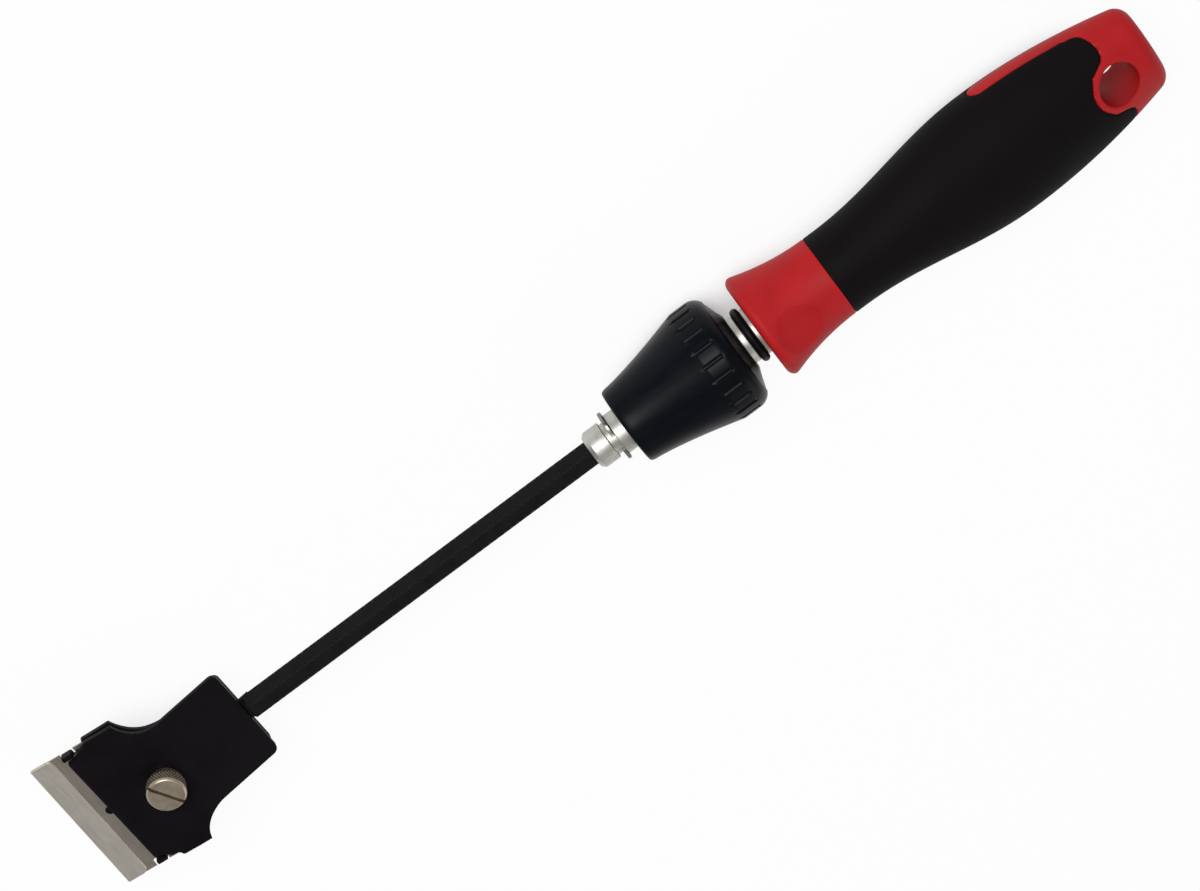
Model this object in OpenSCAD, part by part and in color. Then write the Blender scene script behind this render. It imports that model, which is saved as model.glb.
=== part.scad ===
// Long-reach blade scraper with a telescoping hexagonal shaft.
// +X points from the handle towards the blade and +Z out of the head's upper plate.
// The origin is the centre of the hanging hole, whose axis is +Z.

/* [Handle] */
// Hanging hole centre to the rounded end of the handle
handle_tail = 11.3; // [9.5:0.1:14]
// Hanging hole centre to the front face of the red collar
handle_front = 98.2; // [92:0.1:110]
// Length of the red collar in front of the black grip
collar_l = 20.5; // [16:0.1:24]
// Diameter of the collar at its flared front
collar_d = 26.9; // [24:0.1:30]
// Diameter of the handle at its waist
waist_d = 20.7; // [19:0.1:23]
// Width of the handle at its belly
belly_w = 32.4; // [28:0.1:36]
// Height of the handle at its belly
belly_h = 25.4; // [23:0.1:29]
// Hanging hole centre to the widest place of the belly
belly_x = 30.3; // [26:0.1:36]
// Width of the handle's end before its edge is rounded
tail_w = 21.6; // [19:0.1:24]
// Height of the handle's end before its edge is rounded
tail_h = 13.6; // [12:0.1:17]
// Rounding of the handle's end
tail_r = 3; // [2:0.1:4]
// Thickness of the soft grip
grip_t = 2; // [1.4:0.1:2.6]
// Diameter of the hanging hole
hole_d = 10.3; // [8:0.1:10.8]
// Width of the red ring that shows round the hanging hole
hole_ring_w = 1.6; // [1.2:0.1:2.4]
// Rounding of the hanging hole's rims
hole_rim_r = 0.9; // [0.5:0.1:1.2]
// Hanging hole centre to the centres of the grip's two rounded lobes, along the handle
lobe_x = 4; // [2:0.1:6]
// Radius of the two rounded lobes in which the grip ends
lobe_r = 4.4; // [3.6:0.1:4.8]
// Height of the red strip along each side
strip_h = 5.7; // [3:0.1:6]
// How far the strips lie below the handle's middle
strip_drop = 0.95; // [0:0.05:1.5]
// Hanging hole centre to the front end of the side strips
strip_x = 28.7; // [20:0.1:40]
// Rounding of the collar's front edge
collar_edge_r = 2; // [1:0.1:3]
// Radius of the thumb hollow on the collar
thumb_r = 11.4; // [9:0.1:14]
// Height of the thumb hollow's lowest place above the shaft's axis
thumb_z = 10.1; // [9.5:0.1:11]
// Collar's front face to the lowest place of the thumb hollow
thumb_back = 10.3; // [8:0.1:12]

/* [Chuck body] */
// Sleeve's front face to the tip of the aluminium nose
nose_ahead = 9.8; // [8.4:0.1:14]
// Diameter of the nose ring
nose_d = 9.6; // [9.2:0.1:10.4]
// Length of the nose ring
nose_l = 4.9; // [3.5:0.1:7]
// Chamfer of the nose ring
nose_chamfer = 1; // [0.5:0.1:1.3]
// Diameter of the groove behind the nose
groove_d = 8.2; // [7.8:0.1:8.8]
// Width of the groove behind the nose
groove_w = 2.05; // [1.5:0.05:3]
// Diameter of the front land, in the sleeve's front bush
front_land_d = 10.5; // [10.4:0.1:11]
// Diameter of the rear land, in the sleeve's rear bore and the handle
rear_land_d = 12.1; // [11.8:0.1:12.6]
// Collar's front face to the step between the two lands
step_reach = 13.8; // [12:0.1:15]
// Depth of the chuck body in the handle
body_depth = 28; // [22:0.1:34]
// Outer diameter of the snap ring
snap_d = 12.8; // [11.5:0.1:13.5]
// Thickness of the snap ring
snap_t = 0.8; // [0.7:0.1:1.2]
// Opening of the snap ring, as an angle
snap_gap_a = 58; // [40:1:90]
// Outer diameter of the O-ring
o_ring_d = 14.4; // [13.5:0.1:15]
// Thickness of the O-ring's section
o_ring_t = 2.1; // [1.5:0.1:2.4]
// Collar's front face to the O-ring's centre
o_ring_reach = 2; // [1.5:0.1:3]

/* [Lock sleeve] */
// Length of the sleeve
sleeve_l = 32.7; // [31:0.1:35]
// Way that the sleeve slides back to let the shaft go
sleeve_travel = 1.4; // [1:0.1:1.6]
// Diameter of the sleeve's front face
sleeve_front_d = 19.8; // [18.6:0.1:21]
// Diameter of the sleeve's grip band
sleeve_band_d = 29.3; // [27:0.1:32]
// Length of the cone in front of the grip band
sleeve_cone_l = 23.2; // [20:0.1:24]
// Length of the grip band
sleeve_band_l = 4.8; // [4:0.1:7]
// Number of grooves round the grip band
grip_grooves = 24; // [16:1:30]
// Width of a grip groove
grip_groove_w = 1.2; // [0.8:0.1:2]
// Depth of a grip groove
grip_groove_t = 0.4; // [0.3:0.05:0.8]
// Diameter of the counterbore that holds the cam ring and the bush
cam_d = 16; // [15.8:0.1:16.4]
// Length of the front bush
bush_l = 3; // [2:0.1:4]
// Length of the cam ring
cam_l = 8; // [7:0.1:9]
// Diameter of the lock balls
ball_d = 3; // [2.8:0.1:3.2]
// Number of lock balls
ball_n = 3; // [3:1:3]
// Way that a lock ball moves outwards when the sleeve is back
ball_lift = 0.4; // [0.3:0.05:0.45]
// Wire diameter of the sleeve's spring
spring_wire = 0.9; // [0.7:0.1:1]
// Number of turns of the sleeve's spring
spring_turns = 6; // [4:1:6]
// Thickness of the washers at the spring's ends
washer_t = 0.8; // [0.6:0.1:1]

/* [Shaft] */
// Hexagonal shaft, flat to flat
shaft_af = 6; // [5.6:0.1:6.2]
// Shaft length that shows between the nose and the head
shaft_out = 99.2; // [95:0.1:120]
// Way that the shaft slides into the handle
shaft_travel = 90; // [60:0.5:92]
// Length of the hexagonal guide bore in the chuck body
guide_l = 37.2; // [34:0.1:38.5]
// Pitch of the notches on the shaft's ridges
notch_pitch = 2; // [1.6:0.1:3]
// Depth of a notch below the ridge
notch_t = 0.3; // [0.2:0.05:0.4]
// Length of the stop ring on the shaft's hidden end
stop_l = 4; // [3:0.1:5]
// Diameter of the stop ring
stop_d = 8.5; // [8:0.1:8.7]
// Diameter of the pin through the stop ring
stop_pin_d = 1.5; // [1.2:0.1:2]
// Gap between the shaft's shoulder and the head
neck_gap = 0.8; // [0.6:0.1:1.6]
// Length of the flat tongue under the clamp plate
tongue_l = 16.5; // [14:0.1:17]
// Width of the flat tongue
tongue_w = 5.8; // [5:0.1:6]
// Diameter of the two rivets through the tongue
rivet_d = 3; // [2.5:0.1:3.4]

/* [Head] */
// Height of the head's crown above the shaft's axis
crown_z = 4.8; // [4.4:0.1:5]
// Pitch of the head's two slopes
roof_a = 10; // [8:0.1:12]
// Head's rear edge to its crown
rear_l = 21.1; // [19:0.1:24]
// Half length of the round bend at the crown
bend_l = 2; // [1:0.1:3]
// Thickness of the two stamped plates
plate_t = 1.2; // [1:0.1:1.4]
// Gap between the two plates
plate_gap = 1; // [0.8:0.1:1.2]
// Width of the clamp plate's rear part
clamp_w = 26.2; // [24:0.1:28]
// Width of the lower plate's rear part
base_w = 23.2; // [21:0.1:25]
// How far a wing reaches past the blade's side
wing_over = 0.3; // [0:0.1:1]
// Length of a wing's straight side
wing_l = 8; // [6:0.1:10]
// Head's rear edge to the wings' rear corners
wing_x = 25.1; // [24:0.1:27]
// Radius of the hollow shoulders on the lower plate
base_shoulder_r = 12.3; // [9:0.1:14]
// Radius of the hollow shoulders on the clamp plate
shoulder_r = 9; // [7.5:0.1:10]
// Radius of the rear corners
corner_r = 1.6; // [1:0.1:3]
// Blade's side to the side of the plates between the ears
front_in = 2.6; // [2.4:0.1:4]
// Crown to the thumb screw's axis, along the slope
screw_u = 2.56; // [2.4:0.02:3]
// Thumb screw's axis to the clamp plate's front edge, along the slope
clamp_front_u = 15.5; // [15:0.1:16.3]
// Thumb screw's axis to the lower plate's front edge, along the slope
base_front_u = 17.15; // [16.5:0.05:17.6]
// Length of an ear along the slope
ear_l = 2.6; // [2:0.1:3]
// Blade's side to the middle of an ear
ear_in = 1.15; // [1:0.05:1.6]
// Height of the ears above the lower plate
ear_h = 1.8; // [1.4:0.1:2.6]

/* [Blade] */
// Width of the blade
blade_w = 39; // [38:0.1:40]
// Height of the blade, spine included
blade_h = 19.05; // [18.4:0.05:19.4]
// Thickness of the blade
blade_t = 0.3; // [0.25:0.05:0.4]
// Thumb screw's axis to the spine's outer edge, along the slope
blade_u = 24.25; // [24:0.05:24.6]
// Height of the folded spine
spine_h = 5.8; // [5:0.1:6.6]
// Thickness of the folded spine
spine_t = 0.9; // [0.7:0.1:1.1]
// Angle by which the blade lies askew between the ears
blade_skew = 1.2; // [0:0.1:1.4]
// Diameter of the locating pin
pin_d = 2.1; // [1.8:0.1:2.6]

/* [Thumb screw] */
// Thread diameter
screw_d = 4; // [3.5:0.1:4.4]
// Thread pitch
screw_pitch = 0.7; // [0.5:0.05:0.8]
// Turns that open the clamp
screw_turns = 3; // [2:1:3]
// Length of thread that stays below the upper face of the lower plate when the clamp is open
thread_hold = 1.3; // [1:0.1:2.2]
// Diameter of the knurled head
head_d = 9.5; // [9:0.1:12]
// Height of the knurled head
head_h = 3.6; // [2.4:0.1:4.4]
// Diameter of the collar under the head
screw_collar_d = 7.8; // [6.8:0.1:8.4]
// Height of the collar under the head
screw_collar_h = 2; // [1.2:0.1:3]
// Number of knurls
knurl_n = 40; // [30:1:48]
// Width of the screwdriver slot
slot_w = 1; // [0.8:0.1:1.4]
// Direction of the screwdriver slot
slot_a = 119.7; // [0:1:180]
// Diameter of the threaded bush in the lower plate
bush_d = 6; // [5.6:0.1:7]
// Height of the threaded bush's flange under the lower plate
bush_flange_h = 1.6; // [1:0.1:2.5]

/* [Fits] */
// Radial clearance of sliding round pieces
run_clear = 0.05; // [0.03:0.01:0.1]
// Radial clearance of pressed pieces
press_clear = 0.02; // [0.01:0.01:0.05]
// Clearance of the ears in the blade's notches, along the slope
notch_clear = 0.5; // [0.4:0.05:0.7]
// Gap between faces that lie on each other on different bodies
face_gap = 0.05; // [0.03:0.01:0.1]
// Clearance of the hexagonal shaft in its bore, flat to flat
hex_clear = 0.1; // [0.06:0.01:0.2]

/* [Hidden] */

$fn = 72;
eps = 0.01;
big = 60;

// Handle
red = "#b42226";
soft_black = "#1c1b1c";
grip_x = handle_front - collar_l;
waist_x = grip_x - 2.9;
ring_sides = 32;
ring_step = 5;
tail_steps = 4;
flare_steps = 6;
flare_a = 70;
rim_steps = 3;
core_overlap = 3;
cavity_d = stop_d + 0.5;

// Chuck body
alu = "#bdbbb6";
step_x = handle_front + step_reach;
body_x = handle_front - body_depth;
o_ring_x = handle_front + o_ring_reach;
hex_r = shaft_af / sqrt(3);
hex_bore_r = (shaft_af + hex_clear) / sqrt(3);

// Lock sleeve, from its rear face forwards
sleeve_x = o_ring_x + o_ring_t / 2 + sleeve_travel + face_gap;
sleeve_front_x = sleeve_x + sleeve_l;
nose_x = sleeve_front_x + nose_ahead;
groove_x = nose_x - nose_l;
shoulder_x = groove_x - groove_w;
hex_x = nose_x - guide_l;
bush_x = sleeve_front_x - bush_l - 0.2;
cam_x = bush_x - cam_l;
ball_x = cam_x + 4;
ball_r = hex_r + ball_d / 2 + 0.06;
cam_slope = ball_lift / sleeve_travel;
cam_ball_r = ball_r + (ball_d / 2 + face_gap) * sqrt(1 + cam_slope * cam_slope);
spring_d = front_land_d + 2 * spring_wire + 0.7;
washer_d = spring_d + 0.6;
pocket_d = washer_d + 0.4;
pocket_x = step_x - 2.6;

// Shaft
steel_black = "#1a1a1b";
stop_x = hex_x - face_gap - stop_l;
tail_x = stop_x - 1;
head_x = nose_x + shaft_out;
shaft_end_x = head_x - neck_gap;
cavity_end_x = tail_x - shaft_travel - 1.5;
notch_x = stop_x + stop_l + 6;

// Head: heights fall from the crown on both sides of a round bend
crown_x = head_x + rear_l;
roof_k = tan(roof_a);
plate_v = plate_t / cos(roof_a);
gap_v = plate_gap / cos(roof_a);
base_z = crown_z - plate_v - gap_v;
screw_x = crown_x + screw_u * cos(roof_a);
clamp_front_x = screw_x + clamp_front_u * cos(roof_a);
base_front_x = screw_x + base_front_u * cos(roof_a);
nip_x = screw_x + 4.5;
nip_v = gap_v - (blade_t + 2 * face_gap) / cos(roof_a);
blade_mid_u = blade_u - blade_h / 2;
ear_u = blade_mid_u - 0.45;
ear_y = blade_w / 2 - ear_in;
pin_u = blade_mid_u + 0.9;
head_half = blade_w / 2 + wing_over;
front_half = blade_w / 2 - front_in;
notch_depth = ear_in + plate_t / 2 + 0.15;

function roof(x) = let (u = abs(x - crown_x)) u < bend_l ? roof_k * u * u / (2 * bend_l)
    : roof_k * (u - bend_l / 2);
function nip(x) = x < nip_x ? 0 : nip_v * (x - nip_x) / (clamp_front_x - nip_x);
function arc(c, r, a0, a1, n) = [for (i = [0:n]) let (a = a0 + (a1 - a0) * i / n) c + r * [cos(a), sin(a)]];
function mirrored(half) = concat(half, [for (i = [len(half) - 1:-1:0]) [half[i].x, -half[i].y]]);

// Turns a shape made along Z so that it lies along X
module along_x(x = 0) {
    translate([x, 0, 0]) rotate([0, 90, 0]) children();
}

// A round piece along X from its outline of [x, radius] points
module turned(points) {
    along_x() rotate_extrude() polygon([for (p = points) [p.y, p.x]]);
}

module tube(x, l, d, bore) {
    along_x(x) difference() {
        cylinder(h = l, d = d);
        translate([0, 0, -1]) cylinder(h = l + 2, d = bore);
    }
}

module hexagon(x, l, r) {
    along_x(x) rotate([0, 0, 30]) cylinder(h = l, r = r, $fn = 6);
}

// The place of the thumb screw on the lower plate: +X down the front slope, +Z along the screw
module on_slope() {
    translate([screw_x, 0, base_z - roof(screw_x)]) rotate([0, roof_a, 0]) children();
}

// The rear slope, at the head's rear edge on the lower plate: +X up the slope
module on_rear_slope() {
    translate([head_x, 0, base_z - roof(head_x)]) rotate([0, -roof_a, 0]) children();
}

// Handle
function swell(x) = x > waist_x ? 0 : x > belly_x ? (1 - cos(180 * (waist_x - x) / (waist_x - belly_x))) / 2 : 1;
function taper(x) = x > belly_x ? 0 : pow((belly_x - x) / (belly_x + handle_tail), 2);
function end_in(x) = let (d = x + handle_tail) d > tail_r ? 0 : tail_r - sqrt(tail_r * tail_r - pow(tail_r - d, 2));
function half_w(x) = waist_d / 2 + (belly_w - waist_d) / 2 * swell(x) - (belly_w - tail_w) / 2 * taper(x) - end_in(x);
function half_h(x) = waist_d / 2 + (belly_h - waist_d) / 2 * swell(x) - (belly_h - tail_h) / 2 * taper(x) - end_in(x);

// A closed oval body through rings at the given places, pulled in by inset
module oval_body(xs, inset) {
    n = ring_sides;
    points = [for (x = xs) for (j = [0:n - 1])
        [x, (half_w(x) - inset) * cos(360 * j / n), (half_h(x) - inset) * sin(360 * j / n)]];
    walls = [for (i = [0:len(xs) - 2]) for (j = [0:n - 1]) let (k = (j + 1) % n, a = i * n, b = a + n)
        each [[a + j, b + k, b + j], [a + j, a + k, b + k]]];
    first_cap = [for (j = [n - 1:-1:0]) j];
    last_cap = [for (j = [0:n - 1]) (len(xs) - 1) * n + j];
    polyhedron(points, concat([first_cap, last_cap], walls), convexity = 4);
}

function steps(from, to) = let (n = ceil((from - to) / ring_step)) [for (i = [0:n]) from + (to - from) * i / n];

module handle_outside() {
    tail_edge = [for (i = [1:tail_steps]) -handle_tail + tail_r * (1 - sin(90 * i / tail_steps))];
    oval_body(concat(steps(grip_x, tail_r - handle_tail), tail_edge), 0);
}

module handle_inside() {
    oval_body(steps(grip_x + core_overlap, -0.6 * handle_tail), grip_t);
}

// Where the soft grip lies, seen from above, less the side strips
module grip_zone() {
    difference() {
        translate([0, 0, -big / 2]) linear_extrude(big) difference() {
            union() {
                translate([lobe_x, -big / 2]) square([grip_x + 2 - lobe_x, big]);
                for (s = [-1, 1]) translate([lobe_x, s * (hole_d / 2 + lobe_r + 0.1)]) circle(lobe_r);
            }
            circle(hole_d / 2 + hole_ring_w);
        }
        translate([-big / 2, -big / 2, -strip_drop - strip_h / 2])
            cube([big / 2 + strip_x - strip_h / 2, big, strip_h]);
        translate([strip_x - strip_h / 2, -big / 2, -strip_drop]) rotate([-90, 0, 0]) cylinder(h = big, d = strip_h);
    }
}

module collar_solid() {
    edge = [handle_front - collar_edge_r, collar_d / 2 - collar_edge_r];
    turned(concat([[grip_x, 0]],
        [for (i = [0:flare_steps]) let (t = i / flare_steps)
            [grip_x + (edge.x + collar_edge_r * cos(flare_a) - grip_x) * t,
                waist_d / 2 + (edge.y + collar_edge_r * sin(flare_a) - waist_d / 2) * t * t]],
        arc(edge, collar_edge_r, flare_a - 14, 0, 5),
        [[handle_front, 0]]));
}

module hanging_hole() {
    top = half_h(0) + 1;
    flat = half_h(0) - hole_rim_r - 0.3;
    rim = [for (i = [0:rim_steps]) let (a = 90 * i / rim_steps)
        [hole_d / 2 + hole_rim_r * (1 - cos(a)), flat + hole_rim_r * sin(a)]];
    wall = concat([[0, top], [hole_d / 2 + hole_rim_r, top]], [for (i = [rim_steps:-1:0]) rim[i]]);
    rotate_extrude() polygon(concat(wall, [for (i = [len(wall) - 1:-1:0]) [wall[i].x, -wall[i].y]]));
}

module handle_core() color(red) difference() {
    union() {
        collar_solid();
        handle_inside();
        difference() {
            handle_outside();
            grip_zone();
        }
    }
    hanging_hole();
    along_x(cavity_end_x) cylinder(h = big * 2, d = cavity_d);
    along_x(body_x) cylinder(h = big * 2, r = rear_land_d / 2 + press_clear);
    for (s = [0, 1]) mirror([0, 0, s])
        translate([handle_front - thumb_back, 0, thumb_z + thumb_r]) rotate([90, 0, 0])
            cylinder(h = big, r = thumb_r, center = true);
}

module grip() color(soft_black) intersection() {
    difference() {
        handle_outside();
        handle_inside();
    }
    grip_zone();
}

// Chuck body and what sits on it
module chuck_body() color(alu) difference() {
    turned([[body_x, 0], [body_x, rear_land_d / 2], [o_ring_x - o_ring_t / 2, rear_land_d / 2],
        [o_ring_x - o_ring_t / 2, o_ring_d / 2 - o_ring_t], [o_ring_x + o_ring_t / 2, o_ring_d / 2 - o_ring_t],
        [o_ring_x + o_ring_t / 2, rear_land_d / 2], [step_x, rear_land_d / 2], [step_x, front_land_d / 2],
        [shoulder_x, front_land_d / 2], [shoulder_x, groove_d / 2], [groove_x, groove_d / 2],
        [groove_x, nose_d / 2 - 0.2], [groove_x + 0.2, nose_d / 2], [nose_x - nose_chamfer, nose_d / 2],
        [nose_x, nose_d / 2 - nose_chamfer], [nose_x, 0]]);
    hexagon(hex_x - 1, guide_l + 2, hex_bore_r);
    along_x(body_x - 1) cylinder(h = hex_x - body_x + 1, r = stop_d / 2 + run_clear);
    for (i = [0:ball_n - 1]) rotate([i * 360 / ball_n, 0, 0])
        translate([ball_x, 0.5, 0]) rotate([-90, 40, 0]) cylinder(h = big, r = ball_d / 2 + run_clear);
}

module snap_ring() color("#8d8d88") difference() {
    tube(shoulder_x + face_gap, snap_t, snap_d, groove_d + 2 * press_clear);
    translate([shoulder_x - 1, 0, 0]) rotate([90, 0, 90]) linear_extrude(snap_t + 3)
        polygon([[0, 0], big * [sin(snap_gap_a / 2), cos(snap_gap_a / 2)],
            big * [-sin(snap_gap_a / 2), cos(snap_gap_a / 2)]]);
}

module o_ring() color("#141313") along_x(o_ring_x)
    rotate_extrude() translate([(o_ring_d - o_ring_t) / 2, 0]) circle(d = o_ring_t - 2 * press_clear, $fn = 32);

module seat_washer() color("#a5a5a0") tube(step_x, washer_t, washer_d, front_land_d + 0.2);

module slip_washer() color("#a5a5a0")
    tube(cam_x - face_gap - washer_t, washer_t, washer_d, front_land_d + 4 * run_clear);

// Spring: one round wire, wound as a single helix with a straight closed turn at each end
module release_spring() {
    sides = 6;
    per_turn = 16;
    from = step_x + washer_t + face_gap + spring_wire / 2;
    to = cam_x - 2 * face_gap - washer_t - spring_wire / 2;
    r = (spring_d - spring_wire) / 2;
    last = spring_turns * per_turn;
    rise = (to - from) / last;
    echo(str("gap between the spring's turns: ", rise * per_turn - spring_wire));
    points = [for (i = [0:last]) for (j = [0:sides - 1])
        let (a = 360 * i / per_turn, b = 360 * j / sides, q = r + spring_wire / 2 * cos(b))
        [from + rise * i + spring_wire / 2 * sin(b), q * cos(a), q * sin(a)]];
    walls = [for (i = [0:last - 1]) for (j = [0:sides - 1]) let (k = (j + 1) % sides, a = i * sides, b = a + sides)
        each [[a + j, b + k, b + j], [a + j, a + k, b + k]]];
    color("#b8b8b4") polyhedron(points,
        concat([[for (j = [sides - 1:-1:0]) j], [for (j = [0:sides - 1]) last * sides + j]], walls), convexity = 8);
}

// Lock sleeve and its inner rings
module lock_sleeve() color("#17181c") difference() {
    cone_x = sleeve_front_x - sleeve_cone_l;
    band_x = cone_x - sleeve_band_l;
    band_r = sleeve_band_d / 2;
    front_r = sleeve_front_d / 2;
    hub_r = rear_land_d / 2 + 1.1;
    groove_r = grip_groove_w * grip_groove_w / (8 * grip_groove_t) + grip_groove_t / 2;
    turned(concat([[sleeve_x, 0], [sleeve_x, hub_r], [sleeve_x + 0.6, hub_r + 1.7], [sleeve_x + 2.1, band_r - 2.2]],
        arc([band_x + 0.6, band_r - 4], 4, 150, 90, 5),
        [for (i = [0:6]) let (t = i / 6) [cone_x + (sleeve_cone_l - 1.2) * t,
            front_r + (band_r - front_r) * pow(1 - t, 1.35)]],
        arc([sleeve_front_x - 1.4, front_r - 1.4], 1.4, 62, 0, 4), [[sleeve_front_x, 0]]));
    along_x(sleeve_x - 1) cylinder(h = sleeve_l + 2, r = rear_land_d / 2 + run_clear);
    along_x(pocket_x) cylinder(h = cam_x - pocket_x + 1, d = pocket_d);
    along_x(cam_x) cylinder(h = sleeve_l, r = cam_d / 2 + press_clear);
    for (i = [0:grip_grooves - 1]) rotate([i * 360 / grip_grooves, 0, 0])
        translate([0, 0, band_r + groove_r - grip_groove_t]) along_x(band_x + 0.3) cylinder(h = 6.6, r = groove_r);
}

module cam_ring() color("#7c7d7e") {
    front_r = cam_ball_r + 2 * cam_slope;
    rear_r = cam_ball_r - 2.6 * cam_slope;
    turned([[cam_x, front_land_d / 2 + 4 * run_clear], [cam_x, cam_d / 2], [cam_x + cam_l, cam_d / 2],
        [cam_x + cam_l, front_r], [ball_x + 2, front_r], [ball_x - 2.6, rear_r],
        [ball_x - 2.6, front_land_d / 2 + 4 * run_clear]]);
}

module front_bush() color("#26272a") tube(bush_x, bush_l, cam_d, front_land_d + 2 * run_clear);

module lock_ball(i) color("#c9cac8")
    rotate([i * 360 / ball_n, 0, 0]) translate([ball_x, ball_r, 0]) sphere(d = ball_d);

module lock_ball_1() lock_ball(0);
module lock_ball_2() lock_ball(1);
module lock_ball_3() lock_ball(2);

// Shaft: hexagonal bar, notched by one turned comb, with a flat tongue on the head's rear slope
module shaft() color(steel_black) difference() {
    union() {
        difference() {
            intersection() {
                hexagon(tail_x, shaft_end_x - tail_x, hex_r);
                turned([[tail_x, 0], [tail_x, hex_r - 0.6], [tail_x + 1, hex_r + 1], [shaft_end_x - 1, hex_r + 1],
                    [shaft_end_x, hex_r - 1], [shaft_end_x, 0]]);
            }
            turned(concat([for (x = [notch_x:notch_pitch:shaft_end_x - 4])
                each [[x - 0.45, hex_r + 0.2], [x - 0.1, hex_r - notch_t], [x + 0.1, hex_r - notch_t],
                    [x + 0.45, hex_r + 0.2]]],
                [[shaft_end_x - 2, hex_r + 0.2], [shaft_end_x - 2, hex_r + 2], [notch_x - 1, hex_r + 2],
                    [notch_x - 1, hex_r + 0.2]]));
        }
        on_rear_slope() translate([-neck_gap - 2, -tongue_w / 2, 0])
            cube([tongue_l + neck_gap + 2, tongue_w, plate_gap - face_gap]);
    }
    on_rear_slope() rivet_places() translate([0, 0, -1]) cylinder(h = plate_gap + 2, r = rivet_d / 2 + press_clear);
    translate([stop_x + stop_l / 2, 0, 0]) cylinder(h = big, r = stop_pin_d / 2 + press_clear, center = true);
}

module rivet_places() {
    for (u = [0.25, 0.62]) translate([u * tongue_l, 0, 0]) children();
}

module shaft_stop() color("#6f7072") difference() {
    along_x(stop_x) cylinder(h = stop_l, d = stop_d);
    hexagon(stop_x - 1, stop_l + 2, hex_r + press_clear);
    translate([stop_x + stop_l / 2, 0, 0]) cylinder(h = big, r = stop_pin_d / 2 + press_clear, center = true);
}

module stop_pin() color("#8f9092")
    translate([stop_x + stop_l / 2, 0, 0]) cylinder(h = stop_d - 0.6, d = stop_pin_d, center = true);

// Head: a plate is its folded side view cut by its outline from above
module folded_plate(rear, front, top, nipped) {
    inner = [for (i = [-4:4]) crown_x + bend_l * i / 4];
    xs = concat([rear], inner, nipped ? [nip_x] : [], [front]);
    upper = [for (x = xs) [x, top - roof(x) - (nipped ? nip(x) : 0)]];
    lower = [for (i = [len(xs) - 1:-1:0]) [upper[i].x, upper[i].y - plate_v]];
    translate([0, big / 2, 0]) rotate([90, 0, 0]) linear_extrude(big) polygon(concat(upper, lower));
}

module head_outline(w, front, bend) {
    rise = head_half - w / 2;
    sweep = acos((bend - rise) / bend);
    wing = head_x + wing_x;
    shoulder = wing - bend * sin(sweep);
    wing_end = wing + wing_l;
    polygon(mirrored(concat(
        arc([head_x + corner_r, w / 2 - corner_r], corner_r, 180, 90, 6),
        arc([shoulder, w / 2 + bend], bend, 270, 270 + sweep, 10),
        arc([wing_end - 0.5, head_half - 0.5], 0.5, 90, 0, 3),
        [[wing_end + 0.5, front_half + 1.7], [wing_end + 2.4, front_half + 1.4],
            [wing_end + 2.9, front_half + 0.4], [front - 0.7, front_half],
            [front, front_half - 0.7]])));
}

module base_plate() color("#1b171b") difference() {
    union() {
        intersection() {
            folded_plate(head_x - 5, base_front_x + 5, base_z, false);
            translate([0, 0, -big / 2]) linear_extrude(big)
                head_outline(base_w, base_front_x, base_shoulder_r);
        }
        on_slope() for (s = [0, 1]) mirror([0, s, 0]) {
            translate([ear_u - ear_l / 2, ear_y - plate_t / 2, -plate_t]) cube([ear_l, plate_t, plate_t + ear_h]);
            translate([ear_u - ear_l / 2, ear_y - plate_t / 2 - 1.5, -plate_t]) cube([ear_l, 1.6, plate_t]);
        }
    }
    on_slope() translate([0, 0, -big / 2]) cylinder(h = big, r = bush_d / 2 + press_clear);
    on_slope() translate([pin_u, 0, -big / 2]) cylinder(h = big, r = pin_d / 2 + press_clear);
    on_rear_slope() rivet_places() translate([0, 0, -big / 2]) cylinder(h = big, r = rivet_d / 2 + press_clear);
}

module clamp_plate() color("#1d191d") difference() {
    intersection() {
        folded_plate(head_x - 5, clamp_front_x, crown_z, true);
        translate([0, 0, -big / 2]) linear_extrude(big) head_outline(clamp_w, clamp_front_x, shoulder_r);
    }
    on_slope() translate([0, 0, -big / 2]) cylinder(h = big, r = screw_d / 2 + 0.3);
}

module tongue_rivets() color("#2a2a2b") on_rear_slope() rivet_places() {
    dome_drop = 0.7;
    dome_r = 1.9;
    translate([0, 0, -plate_t]) cylinder(h = plate_t + plate_gap - face_gap, d = rivet_d);
    translate([0, 0, -plate_t]) mirror([0, 0, 1])
        rotate_extrude() polygon(concat([[0, 0]],
            arc([0, -dome_drop], dome_r, asin(dome_drop / dome_r), 90, 6)));
}

module clinch_nut() color("#8a8478") on_slope() difference() {
    union() {
        translate([0, 0, -plate_t]) cylinder(h = plate_t, d = bush_d);
        translate([0, 0, -plate_t - bush_flange_h]) cylinder(h = bush_flange_h, d = bush_d + 2.4);
    }
    translate([0, 0, -big / 2]) cylinder(h = big, r = screw_d / 2 + run_clear);
}

module locating_pin() color("#232021") on_slope() translate([pin_u, 0, -plate_t])
    cylinder(h = plate_t + blade_t, d = pin_d);

// Blade: lies on the lower plate, turned so that its edge is inside and its spine outside
module on_blade() {
    on_slope() translate([pin_u, 0, 0]) rotate([0, 0, -blade_skew]) translate([-pin_u, 0, 0]) children();
}

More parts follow.
